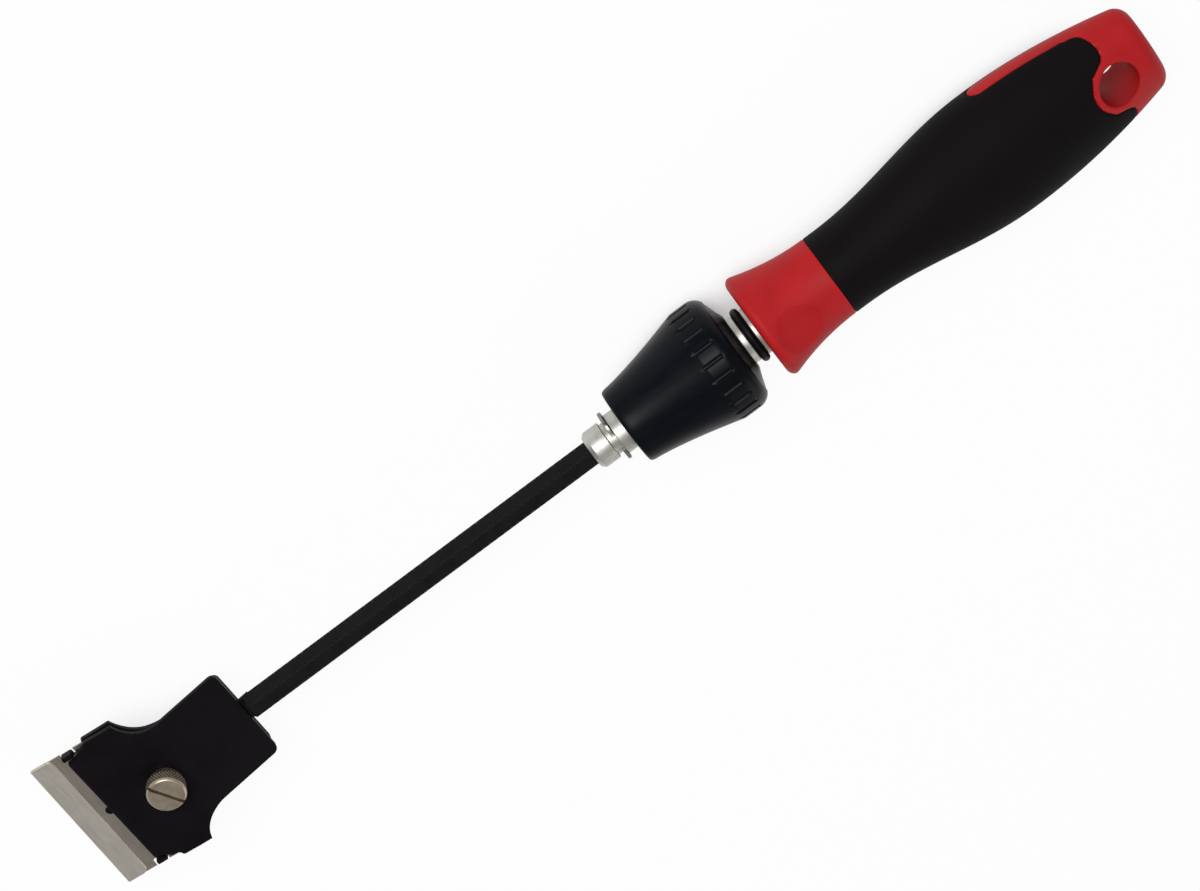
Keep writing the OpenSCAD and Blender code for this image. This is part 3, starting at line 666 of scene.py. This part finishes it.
def snap_ring():
    arcs = 72
    sections = []
    for i in range(arcs + 1):
        a = radians(SNAP_FROM + (SNAP_TO - SNAP_FROM) * i / arcs)
        tip = min(i, arcs - i) / arcs * (SNAP_TO - SNAP_FROM) / 38
        out = SNAP_IN + (SNAP_OUT - SNAP_IN) * (0.45 + 0.55 * smooth_step(tip))
        x0, e = SHOULDER_X + 0.05, SNAP_EDGE
        x1 = x0 + SNAP_T
        loop = [(x0 + e, SNAP_IN), (x0, SNAP_IN + e), (x0, out - e), (x0 + e, out),
                (x1 - e, out), (x1, out - e), (x1, SNAP_IN + e), (x1 - e, SNAP_IN)]
        sections.append([(x, r * cos(a), r * sin(a)) for x, r in loop])
    n = len(sections[0])
    points = [p for s in sections for p in s]
    faces = [(a, d, c, b) for a, b, c, d in bands(arcs + 1, n)]
    faces += [tuple(range(n)), tuple(arcs * n + j for j in range(n))[::-1]]
    return new_piece("snap_ring_skin", points, faces, SPRING)


dress(snap_ring(), "handle", "spring_steel", "snap_ring")


# %% The O-ring
def o_ring():
    sections = 40
    rings = []
    for i in range(sections):
        a = 2 * pi * i / sections
        x, r = O_RING_X - O_RING_WIRE * cos(a), O_RING_MID + O_RING_WIRE * sin(a)
        rings.append(ring_at(x, r, 128))
    return skin("o_ring_skin", rings, NITRILE, closed=True)


dress(o_ring(), "handle", "black_rubber", "o_ring")

# %% [markdown]
# ## Spring inside the sleeve
# The coil spring never shows unless the sleeve is cut open, but it is a nice small Geometry
# Nodes tree: a Spiral curve, swept with a round wire. Its sizes are named inputs. It stands on
# the fixed washer.

# %% A tree that winds a spring
def start_tree(name, floats, whole=()):
    tree = bpy.data.node_groups.new(name, "GeometryNodeTree")
    tree.interface.new_socket("Geometry", in_out="OUTPUT", socket_type="NodeSocketGeometry")
    for kind, names in (("NodeSocketInt", whole), ("NodeSocketFloat", floats)):
        for label in names:
            tree.interface.new_socket(label, in_out="INPUT", socket_type=kind)
    return tree, add(tree, "NodeGroupInput").outputs


def finish_tree(tree, geometry, material):
    """Makes instances real, paints them and hands them out."""
    real = add(tree, "GeometryNodeRealizeInstances", {"Geometry": geometry})
    painted = add(tree, "GeometryNodeSetMaterial", {"Geometry": real.outputs[0], "Material": material})
    add(tree, "NodeGroupOutput", {"Geometry": painted.outputs[0]})
    return tree


def spring_tree(material):
    tree, given = start_tree("wound_spring", ("Turns", "Radius", "Length", "Wire"))
    spiral = add(tree, "GeometryNodeCurveSpiral",
                 {"Resolution": 48, "Rotations": given["Turns"], "Start Radius": given["Radius"],
                  "End Radius": given["Radius"], "Height": given["Length"]})
    wire = add(tree, "GeometryNodeCurvePrimitiveCircle", {"Resolution": 14, "Radius": given["Wire"]})
    swept = add(tree, "GeometryNodeCurveToMesh",
                {"Curve": spiral.outputs[0], "Profile Curve": wire.outputs[0], "Fill Caps": True})
    return finish_tree(tree, swept.outputs[0], material)


def grown(name, tree, values, sharp=35):
    """A plain mesh made by a geometry tree with these inputs."""
    piece = bpy.data.objects.new(name, bpy.data.meshes.new(name))
    bpy.context.scene.collection.objects.link(piece)
    modifier = piece.modifiers.new(name, "NODES")
    modifier.node_group = tree
    sockets = {s.name: s.identifier for s in tree.interface.items_tree if s.in_out == "INPUT"}
    for key, value in values.items():
        modifier[sockets[key]] = value
    return bake(piece, sharp)


SPRING_FOOT, SPRING_START, SPRING_TIP, SLEEVE_TRAVEL = 112.8, 113.3, 123.2, 1.4
spring = grown("release_spring_wire", spring_tree(SPRING),
               {"Turns": 6.0, "Radius": 6.05 * MM, "Length": 9.45 * MM, "Wire": 0.45 * MM})
dress(lay_down(spring, SPRING_START), "handle", "spring_steel", "release_spring")
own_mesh(spring)

# %% [markdown]
# ## Lock sleeve
# The sleeve is a turned shape with 24 scalloped flutes round its thick end, and each flute
# runs out where the cone drops away. In the skin, every point simply takes the smaller of
# two radii: the sleeve's, or the floor of the nearest flute. That gives the same run-out as
# an end mill does. Instanced cutters and a boolean would do it too, with ragged shading.

# %% The sleeve's profile and flutes
SLEEVE_X, SLEEVE_FRONT, BAND_X, CONE_X, BAND_R, FRONT_R = 102.7, 135.4, 107.4, 112.2, 14.65, 9.9
FLUTES, FLUTE_R, FLUTE_DEPTH, FLUTE_X, FLUTE_END = 24, 0.65, 0.4, 107.7, 118
REAR_ARC_R, FRONT_ARC_X = 4, SLEEVE_FRONT - 1.2
RING_ROOM_X, RING_ROOM_R, SPRING_ROOM_X, SPRING_ROOM_R, BORE_R = 124.2, 8.02, 109.4, 7.0, 6.1
SLEEVE_SIDES = FLUTES * 18


def sleeve_radius(x):
    t = (x - CONE_X) / (SLEEVE_FRONT - 1 - CONE_X)
    return FRONT_R + (BAND_R - FRONT_R) * max(0, 1 - t) ** 1.3


def fluted(x, radius):
    start = smooth_step((x - FLUTE_X + 0.15) / 0.3)

    def at(angle):
        pitch = 2 * pi / FLUTES
        s = BAND_R * (((angle + pitch / 2) % pitch) - pitch / 2)
        if abs(s) >= FLUTE_R or x > FLUTE_END:
            return radius
        floor = BAND_R + FLUTE_R - FLUTE_DEPTH - sqrt(FLUTE_R ** 2 - s * s)
        return radius + (min(radius, floor) - radius) * start
    return at


def lock_sleeve():
    rear = rounded([(SLEEVE_X, 6.15), (SLEEVE_X, 7.15, 0.3), (103.4, 8.85, 0.6), (104.6, 12.4, 0.8)], 9)
    rear += arc(BAND_X + 0.6, BAND_R - REAR_ARC_R, REAR_ARC_R, 150, 90, 12)
    band = [(x, BAND_R) for x in stations((BAND_X + 0.68, 108.4, 0.08), (108.4, CONE_X, 0.5))]
    cone = [(x, sleeve_radius(x))
            for x in stations((CONE_X + 0.3, 116.5, 0.35), (116.5, FRONT_ARC_X, 0.9))]
    front = rounded([(FRONT_ARC_X, sleeve_radius(FRONT_ARC_X)), (SLEEVE_FRONT, 9.6, 1.4),
                     (SLEEVE_FRONT, 8.1, 0.1), (SLEEVE_FRONT - 0.3, RING_ROOM_R)], 7)[1:]
    inside = [(RING_ROOM_X, RING_ROOM_R), (RING_ROOM_X, SPRING_ROOM_R), (SPRING_ROOM_X, SPRING_ROOM_R),
              (SPRING_ROOM_X, BORE_R), (SLEEVE_X + 0.2, BORE_R)]
    rings = []
    for x, r in rear + band + cone + front + inside:
        grooved = BAND_X <= x <= FLUTE_END and r > 10
        rings.append(ring_at(x, fluted(x, r) if grooved else r, SLEEVE_SIDES))
    return skin("lock_sleeve_skin", rings, ACETAL, closed=True, sharp=40)


dress(lock_sleeve(), "sleeve", "black_plastic", "lock_sleeve")
BUSH_X, BUSH_FRONT, BUSH_R = 132.2, 135.15, 8.0
bush = turning("front_bush_skin",
               [(BUSH_X, 5.3, 0), (BUSH_X, BUSH_R, 0.1), (BUSH_FRONT, BUSH_R, 0.3),
                (BUSH_FRONT, 5.32, 0.3), (BUSH_X + 0.1, 5.3, 0)], ACETAL, 96, closed=True)
dress(bush, "sleeve", "black_plastic", "front_bush")

# %% [markdown]
# ## Hexagonal shaft
# The shaft is drawn hexagonal bar with a tiny notch every 2 mm along each ridge, where the
# lock balls can bite. Each ring of the skin is the hexagon, cut back to a circle at its
# corners, and that circle is smaller in the bottom of a notch. The samples crowd near the
# corners, where the shape changes.

# %% The shaft's rings
SHAFT_HALF, RIDGE_R, NOTCH_R = 3.0, 3.4, 3.14
TAIL_END, SHAFT_END, NOTCH_PITCH = 102.95, 243.6, 2.0
NOTCH_TOP, NOTCH_FLOOR = 0.42, 0.12
CORNER_STEPS = (-30, -17, -11.7, -8.5, -5.5, -2.7, 0, 2.7, 5.5, 8.5, 11.7, 17)


def shaft_ring(x, limit):
    ring = []
    for corner in range(0, 360, 60):
        for step in CORNER_STEPS:
            off = abs(step) if abs(step) < 30 else 30
            r = min(SHAFT_HALF / cos(radians(30 - off)), limit)
            a = radians(corner + step)
            ring.append((x, r * cos(a), r * sin(a)))
    return ring


def shaft():
    rings = [shaft_ring(TAIL_END, 2.9), shaft_ring(TAIL_END + 0.6, RIDGE_R)]
    x = TAIL_END + 7
    while x < SHAFT_END - 4:
        rings += [shaft_ring(x - NOTCH_TOP, RIDGE_R), shaft_ring(x - NOTCH_FLOOR, NOTCH_R),
                  shaft_ring(x + NOTCH_FLOOR, NOTCH_R), shaft_ring(x + NOTCH_TOP, RIDGE_R)]
        x += NOTCH_PITCH
    rings += [shaft_ring(SHAFT_END - 1.0, RIDGE_R), shaft_ring(SHAFT_END - 0.5, 3.1),
              shaft_ring(SHAFT_END, 2.5)]
    return skin("shaft_skin", rings, OXIDE, (TAIL_END, 0, 0), (SHAFT_END, 0, 0), sharp=28)


# %% [markdown]
# ## Head plates
# Both plates are stamped from 1.2 mm sheet and folded to a low roof. A plate starts as its
# flat outline, filled with triangles round its holes. Cuts across it make room for the
# bends, each point drops by the roof's height at its X, and the sheet gets its thickness and
# a small bevel. A subdivided plane with a Simple Deform modifier would bend as well, but its
# outline could not keep true arcs.

# %% The roof that both plates follow
HEAD_X, CROWN_X, CROWN_Z, BEND = 244.4, 265.5, 4.8, 2.0
SLOPE = radians(10)
PLATE_V, GAP_V = 1.2 / cos(SLOPE), 1.0 / cos(SLOPE)
BASE_Z = CROWN_Z - PLATE_V - GAP_V
SCREW_X = CROWN_X + 2.56 * cos(SLOPE)
CLAMP_FRONT, BASE_FRONT = SCREW_X + 15.5 * cos(SLOPE), SCREW_X + 17.15 * cos(SLOPE)
NIP_X = SCREW_X + 4.5
NIP_V = GAP_V - 0.4 / cos(SLOPE)


def roof(x):
    u = abs(x - CROWN_X)
    return tan(SLOPE) * (u * u / (2 * BEND) if u < BEND else u - BEND / 2)


def nip(x):
    return 0 if x < NIP_X else NIP_V * (x - NIP_X) / (CLAMP_FRONT - NIP_X)


def lip(x, front):
    return 0.22 * max(0, (x - front + 0.9) / 0.9) ** 2


def on_slope(u, y, v):
    """A point u mm down the front slope from the screw, v mm above the lower plate."""
    return (SCREW_X + u * cos(SLOPE) + v * sin(SLOPE), y,
            BASE_Z - roof(SCREW_X) - u * sin(SLOPE) + v * cos(SLOPE))


# %% Outlines and the stamped sheet
def mirrored(half):
    return half + [(x, -y) for x, y in half[::-1]]


HEAD_HALF, WING_X, WING_CORNER = 19.8, 269.5, 0.7


def head_outline(half_rear, shoulder, front):
    wing, corner = WING_X, 1.6
    sweep = degrees(acos((shoulder - (HEAD_HALF - half_rear)) / shoulder))
    sx = wing - shoulder * sin(radians(sweep))
    half = arc(HEAD_X + corner, half_rear - corner, corner, 180, 90, 8)
    half += arc(sx, half_rear + shoulder, shoulder, 270, 270 + sweep, 26)
    half += arc(wing + 8.0 - WING_CORNER, HEAD_HALF - WING_CORNER, WING_CORNER, 90, 0, 5)
    half += [(wing + 8.5, 18.6), (wing + 10.4, 18.3), (wing + 10.9, 17.3), (front - 0.9, 16.9)]
    half += arc(front - 0.6, 16.25, 0.6, 80, 0, 4)
    return mirrored(half)


def circle(x, y, r, steps=48):
    return [(x + r * cos(2 * pi * i / steps), y + r * sin(2 * pi * i / steps))
            for i in range(steps)]


def stamped(name, loops, cuts, height, thickness, material, bevel=0.16, sharp=32):
    """A sheet from flat loops, cut across at the X values in cuts, dropped to height(x, y)
    and given thickness(x, y) downwards."""
    bm = bmesh.new()
    for loop in loops:
        points = [bm.verts.new((x, y, 0)) for x, y in loop]
        for a, b in zip(points, points[1:] + points[:1]):
            bm.edges.new((a, b))
    bmesh.ops.triangle_fill(bm, use_beauty=True, edges=bm.edges[:], normal=(0, 0, 1))
    for x in cuts:
        bmesh.ops.bisect_plane(bm, geom=bm.verts[:] + bm.edges[:] + bm.faces[:], dist=1e-5,
                               plane_co=(x, 0, 0), plane_no=(1, 0, 0))
    bmesh.ops.dissolve_limit(bm, angle_limit=radians(1), verts=[], edges=[])
    for face in bm.faces:
        if face.normal.z < 0:
            face.normal_flip()
    top = list(bm.faces)
    copy = bmesh.ops.duplicate(bm, geom=bm.faces[:] + bm.edges[:] + bm.verts[:])
    twin = copy["vert_map"]
    low = [g for g in copy["geom"] if isinstance(g, bmesh.types.BMFace)]
    rim = [e for f in top for e in f.edges if len(e.link_faces) == 1]
    sides = []
    for edge in rim:
        a = [loop.vert for loop in edge.link_faces[0].loops if loop.edge == edge][0]
        b = edge.other_vert(a)
        sides.append((b, a, twin[a], twin[b]))
    for f in low:
        f.normal_flip()
    lows = {twin[v] for f in top for v in f.verts}
    for quad in sides:
        bm.faces.new(quad)
    for v in bm.verts:
        x, y = v.co.x, v.co.y
        z = height(x, y) - (thickness(x, y) if v in lows else 0)
        v.co = (x, y, z)
    bm.verts.index_update()
    points = [tuple(v.co) for v in bm.verts]
    faces = [tuple(v.index for v in f.verts) for f in bm.faces]
    bm.free()
    piece = new_piece(name, points, faces, material, sharp)
    if bevel:
        edge = piece.modifiers.new("edge", "BEVEL")
        edge.width = bevel * MM
        edge.segments = 3
        edge.limit_method = "ANGLE"
        edge.angle_limit = radians(50)
        edge.harden_normals = True
        bake(piece, sharp)
    return piece


def bend_cuts(front):
    across = [CROWN_X + BEND * i / 5 for i in range(-5, 6)]
    return across + [NIP_X] + [front - 0.9 + 0.18 * i for i in range(1, 5)] + [front - 0.95]


# %% Stamp the clamp plate
def clamp_plate():
    def top(x, y):
        return CROWN_Z - roof(x) - nip(x) - lip(x, CLAMP_FRONT)

    def thick(x, y):
        return PLATE_V - lip(x, CLAMP_FRONT)
    hole = circle(SCREW_X + 0.28, 0, 2.3)
    return stamped("clamp_plate_skin", [head_outline(13.1, 9, CLAMP_FRONT), hole],
                   bend_cuts(CLAMP_FRONT), top, thick, LACQUER)


dress(clamp_plate(), "clamp", "black_plate", "clamp_plate")

# %% [markdown]
# The lower plate carries two small ears, bent up through the blade's side notches. They are
# short tabs with rounded tops, made as one small loft each and joined to the plate's mesh.

# %% Stamp the lower plate with its ears
EAR_U, EAR_IN, EAR_OUT, EAR_TOP, EAR_HALF = 14.3, 17.75, 18.95, 1.8, 1.3
PIN_U = 15.62


def ear(side):
    profile = [(EAR_IN - 1.2, -1.2), (EAR_IN - 1.2, 0), (EAR_IN, 0), (EAR_IN, EAR_TOP - 0.3),
               (EAR_IN + 0.25, EAR_TOP), (EAR_OUT - 0.3, EAR_TOP), (EAR_OUT, EAR_TOP - 0.4),
               (EAR_OUT, -0.5), (EAR_OUT - 0.45, -1.05), (EAR_OUT - 1.0, -1.2)]
    mid = (EAR_IN + EAR_OUT) / 2
    sections = []
    for u, shrink in ((-EAR_HALF, 0.12), (-EAR_HALF + 0.15, 0), (EAR_HALF - 0.15, 0), (EAR_HALF, 0.12)):
        sections.append([on_slope(EAR_U + u, side * (y + (mid - y) * shrink), v * (1 - shrink))
                         for y, v in profile])
    return loft("ear", sections, LACQUER, flip=side > 0)


def joined(pieces, name):
    """Joins pieces into the first one's mesh."""
    bm = bmesh.new()
    materials = []
    for piece in pieces:
        start = len(bm.faces)
        bm.from_mesh(piece.data)
        bm.faces.ensure_lookup_table()
        for face in bm.faces[start:]:
            own = piece.data.materials[face.material_index]
            if own not in materials:
                materials.append(own)
            face.material_index = materials.index(own)
    mesh = bpy.data.meshes.new(name)
    bm.to_mesh(mesh)
    bm.free()
    for own in materials:
        mesh.materials.append(own)
    for piece in pieces[1:]:
        bpy.data.objects.remove(piece)
    pieces[0].data = mesh
    pieces[0].name = name
    return pieces[0]


def base_plate():
    def top(x, y):
        return BASE_Z - roof(x)

    def thick(x, y):
        return PLATE_V
    holes = [circle(SCREW_X - 0.1, 0, 3.02), circle(SCREW_X + PIN_U * cos(SLOPE) - 0.1, 0, 1.07, 24)]
    sheet = stamped("base_plate_skin", [head_outline(11.6, 12.3, BASE_FRONT)] + holes,
                    bend_cuts(BASE_FRONT), top, thick, LACQUER)
    return joined([sheet, ear(1), ear(-1)], "base_plate_skin")


dress(base_plate(), "head_and_shaft", "black_plate", "base_plate")


# %% The shaft's flat tongue, bent to the rear slope
TONGUE_T = 0.95


def tongue():
    sections = []
    for s in (-2.8, 2, 8, 14, 16.3, 16.5):
        half = 2.9 if s < 16.4 else 2.7
        x = HEAD_X + s * cos(SLOPE)
        z = BASE_Z - roof(HEAD_X) + s * sin(SLOPE)
        sections.append([(x - v * sin(SLOPE), y, z + v * cos(SLOPE))
                         for y, v in ((-half, 0), (half, 0), (half, TONGUE_T), (-half, TONGUE_T))])
    return loft("tongue", sections, OXIDE)


dress(joined([shaft(), tongue()], "shaft_skin"), "head_and_shaft", "black_steel", "shaft")

# %% [markdown]
# ## Blade and spine
# The blade is 0.3 mm strip with a ground edge and two side notches. It is stored turned
# round: the edge lies between the plates and the folded spine looks out. The sheet maker from
# the plates stamps it too. The spine is a strip folded over the blade's back, so it is a skin
# along Y with a round nose.

# %% Stamp the blade
BLADE_U, BLADE_H, BLADE_HALF, BLADE_T, BLADE_V = 24.25, 19.05, 19.5, 0.3, 0.05
SKEW, NOTCH_HALF = radians(-1.2), 1.8


def on_blade(u, y, v):
    """A point of the blade, which sits a little askew on its pin."""
    du = u - PIN_U
    return on_slope(PIN_U + du * cos(SKEW) - y * sin(SKEW), du * sin(SKEW) + y * cos(SKEW), v)


def blade():
    edge = BLADE_U - BLADE_H
    near, far = EAR_U - NOTCH_HALF, EAR_U + NOTCH_HALF
    side, floor = BLADE_HALF, BLADE_HALF - 1.9
    half = [(edge, side), (near, side), (near, side - 1.6), (near + 0.3, floor)]
    half += [(far - 0.3, floor), (far, side - 1.6), (far, side), (BLADE_U - 0.3, side)]

    def thick(u, y):
        return 0.02 + (BLADE_T - 0.02) * min(1, (u - edge) / 1.2)

    def top(u, y):
        return BLADE_V + BLADE_T / 2 + thick(u, y) / 2
    loops = [mirrored(half), circle(PIN_U, 0, 1.2, 32)]
    piece = stamped("blade_skin", loops, [edge + 1.2], top, thick, BLADE, 0)
    for v in piece.data.vertices:
        v.co = [c * MM for c in on_blade(v.co.x / MM, v.co.y / MM, v.co.z / MM)]
    return piece


def blade_spine():
    t, e, inner, corner = 0.45, 0.12, BLADE_U - 5.8, 1.5
    mid = BLADE_V + BLADE_T / 2
    sections = []
    for i in range(41):
        y = BLADE_HALF * (1 - 2 * i / 40) if 6 < i < 34 else 0
        if i <= 6:
            y = BLADE_HALF - corner * (1 - cos(radians(90 * i / 6)))
        if i >= 34:
            y = -BLADE_HALF + corner * (1 - cos(radians(90 * (40 - i) / 6)))
        over = max(0, abs(y) - (BLADE_HALF - corner))
        back = inner + corner - sqrt(max(0, corner ** 2 - over ** 2))
        loop = [(back + e, mid - t), (back, mid - t + e), (back, mid + t - e), (back + e, mid + t)]
        loop += [(BLADE_U - t + t * sin(radians(a)), mid + t * cos(radians(a)))
                 for a in range(0, 181, 18)]
        sections.append([on_blade(u, y, v) for u, v in loop])
    # The spine takes the blade steel painted lighter, painted light on the raised fold.
    return loft("blade_spine_skin", sections, SPINE_PAINTED_LIGHTER)


dress(blade(), "head_and_shaft", "blade_steel", "blade")
dress(blade_spine(), "head_and_shaft", "blade_steel", "blade_spine")

# %% [markdown]
# ## Thumb screw
# A nickel-plated screw with a plain collar, a knurled rim, a rounded top and a sawn slot. The
# body is a turning. The photograph shows the knurl as dark beads, so a Geometry Nodes tree
# sets rows of beads round the rim, each row half a bead further round than the one below.

# %% A tree that puts staggered beads round a rim
def knurl_tree(material):
    tree, given = start_tree("knurled_rim", ("Radius", "Size", "Step"), ("Beads", "Rows"))
    rim = add(tree, "GeometryNodeMeshCircle", {"Vertices": given["Beads"], "Radius": given["Radius"]})
    bead = add(tree, "GeometryNodeMeshIcoSphere", {"Radius": given["Size"], "Subdivisions": 2})
    row = add(tree, "GeometryNodeInstanceOnPoints",
              {"Points": rim.outputs[0], "Instance": bead.outputs[0]})
    step = add(tree, "ShaderNodeCombineXYZ", {"Z": given["Step"]})
    line = add(tree, "GeometryNodeMeshLine", {"Count": given["Rows"], "Offset": step.outputs[0]})
    half = add(tree, "ShaderNodeMath", {0: pi, 1: given["Beads"]}, operation="DIVIDE")
    index = add(tree, "GeometryNodeInputIndex")
    stagger = add(tree, "ShaderNodeMath", {0: index.outputs[0], 1: half.outputs[0]},
                  operation="MULTIPLY")
    euler = add(tree, "ShaderNodeCombineXYZ", {"Z": stagger.outputs[0]})
    turn = add(tree, "FunctionNodeEulerToRotation", {"Euler": euler.outputs[0]})
    rows = add(tree, "GeometryNodeInstanceOnPoints",
               {"Points": line.outputs[0], "Instance": row.outputs[0], "Rotation": turn.outputs[0]})
    return finish_tree(tree, rows.outputs[0], material)


# %% Build the screw and tilt it onto the slope
SEAT, COLLAR_R, COLLAR_H, KNURL_R, KNURL_H, CHAMFER = 2.2, 3.9, 2.0, 4.75, 2.8, 0.8
SLOT_HALF, SLOT_DEPTH, SLOT_TURN = 0.4, 1.35, 119.7
BEADS, BEAD_ROWS, BEAD_STEP, BEAD_R = 40, 5, 0.6, 0.36
STEM_END, STEM_R = -3.4, 2.0


def thumb_screw():
    low, high = SEAT + COLLAR_H, SEAT + COLLAR_H + KNURL_H
    rim, top = KNURL_R - 0.3, high + CHAMFER
    outline = [(STEM_END, 0.01), (STEM_END, 1.7, 0.1), (STEM_END + 0.3, STEM_R, 0.1),
               (SEAT - 0.15, STEM_R, 0.1), (SEAT + 0.02, COLLAR_R - 0.15, 0),
               (SEAT + 0.15, COLLAR_R, 0.05), (low, COLLAR_R, 0.2), (low, KNURL_R - 0.5, 0.1),
               (low + 0.3, rim, 0.1), (high, rim, 0.05), (high + 0.1, KNURL_R - 0.05, 0.1),
               (top, KNURL_R - 0.45, 0.55), (top, 0.01)]
    stem = turning("thumb_screw_skin", outline, NICKEL, 120, sharp=30)
    corners = [(x, y, z) for x in (top - SLOT_DEPTH, 12) for y in (-9, 9)
               for z in (-SLOT_HALF, SLOT_HALF)]
    sides = [(0, 1, 3, 2), (4, 6, 7, 5), (0, 4, 5, 1), (2, 3, 7, 6), (0, 2, 6, 4), (1, 5, 7, 3)]
    slot = new_piece("slot", corners, sides, NICKEL)
    # The beads wear the darker nickel, painted shade for the knurl's grooves.
    beads = grown("beads", knurl_tree(KNURL_PAINTED_SHADE),
                  {"Beads": BEADS, "Rows": BEAD_ROWS, "Size": BEAD_R * MM,
                   "Radius": (KNURL_R - BEAD_R) * MM, "Step": BEAD_STEP * MM})
    lay_down(beads, low + 0.3)
    cut(stem, slot)
    piece = joined([stem, beads], "thumb_screw_skin")
    turn = radians(SLOT_TURN)
    for v in piece.data.vertices:
        x, y, z = (c / MM for c in v.co)
        u, w = y * cos(turn) - z * sin(turn), y * sin(turn) + z * cos(turn)
        v.co = [c * MM for c in on_slope(u, w, x)]
    bm = bmesh.new()
    bm.from_mesh(piece.data)
    bmesh.ops.recalc_face_normals(bm, faces=bm.faces[:])
    bm.to_mesh(piece.data)
    bm.free()
    piece.data.set_sharp_from_angle(angle=radians(30))
    return piece


dress(thumb_screw(), "screw", "nickel_steel", "thumb_screw")

# %% [markdown]
# ## Finishes for the solids that stay
# Washers, balls, the cam ring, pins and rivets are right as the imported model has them, so
# they only get their metals.

# %% Paint the remaining solids
FINISHES = {
    "seat_washer": SPRING, "slip_washer": SPRING, "cam_ring": GROUND, "lock_ball_1": GROUND,
    "lock_ball_2": GROUND, "lock_ball_3": GROUND, "shaft_stop": GROUND, "stop_pin": GROUND,
    "tongue_rivets": OXIDE, "clinch_nut": NICKEL, "locating_pin": LACQUER,
}
for name, material in FINISHES.items():
    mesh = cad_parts[name].data
    mesh.materials.clear()
    mesh.materials.append(material)
print("painted solids:", len(FINISHES))

# %% [markdown]
# ## Floor and light
# The tool was shot on white. The floor is a pale sheet under it that glows white to the camera
# and in reflections. The glow fades where the tool covers the floor, so that a soft shadow
# stays close round it. A wide lamp above the camera's left gives the soft
# highlights along the handle, and a grey-white world fills the rest.

# %% The floor
FLOOR_HALF, FLOOR_GAP, SHADOW_REACH, GLOW = 3000, 0.3, 40, 0.93


def white_floor():
    material = bpy.data.materials.new("white_paper")
    material.use_nodes = True
    tree = material.node_tree
    tree.nodes.clear()
    seen = add(tree, "ShaderNodeLightPath").outputs
    paper = add(tree, "ShaderNodeBsdfDiffuse", {"Color": srgb("#f2f2f2")})
    glow = add(tree, "ShaderNodeEmission", {"Color": (1, 1, 1, 1), "Strength": 1.0})
    direct = add(tree, "ShaderNodeMath", {0: seen["Is Camera Ray"], 1: seen["Is Glossy Ray"]},
                 operation="MAXIMUM")
    open_sky = add(tree, "ShaderNodeAmbientOcclusion", {"Distance": SHADOW_REACH * MM}, samples=16)
    share = blend(tree, open_sky.outputs["AO"], 0.0, GLOW, 0.12, 0.4)
    lit = add(tree, "ShaderNodeMath", {0: direct.outputs[0], 1: share}, operation="MULTIPLY")
    mix = add(tree, "ShaderNodeMixShader",
              {0: lit.outputs[0], 1: paper.outputs[0], 2: glow.outputs[0]})
    add(tree, "ShaderNodeOutputMaterial", {"Surface": mix.outputs[0]})
    return material


floor_z = cad_box[0].z / MM - FLOOR_GAP
corners = [(x * FLOOR_HALF, y * FLOOR_HALF, floor_z) for x, y in ((-1, -1), (1, -1), (1, 1), (-1, 1))]
floor = new_piece("floor", corners, [(0, 1, 2, 3)], white_floor())


# %% Lamps and world
def lamp(name, place, size, watts, target=(0.143, 0, 0)):
    light = bpy.data.lights.new(name, "AREA")
    light.shape = "DISK"
    light.size = size
    light.energy = watts
    holder = bpy.data.objects.new(name, light)
    holder.location = place
    holder.rotation_euler = (Vector(target) - Vector(place)).to_track_quat("-Z", "Y").to_euler()
    bpy.context.scene.collection.objects.link(holder)


lamp("key", (0.3, -0.8, 1.2), 0.85, 15)
lamp("rim", (-0.3, 1.1, 0.6), 1.0, 3)
world = bpy.data.worlds.new("studio")
world.use_nodes = True
world.node_tree.nodes["Background"].inputs["Color"].default_value = (1, 1, 1, 1)
world.node_tree.nodes["Background"].inputs["Strength"].default_value = 0.34
bpy.context.scene.world = world
bpy.context.scene.view_settings.view_transform = "Standard"
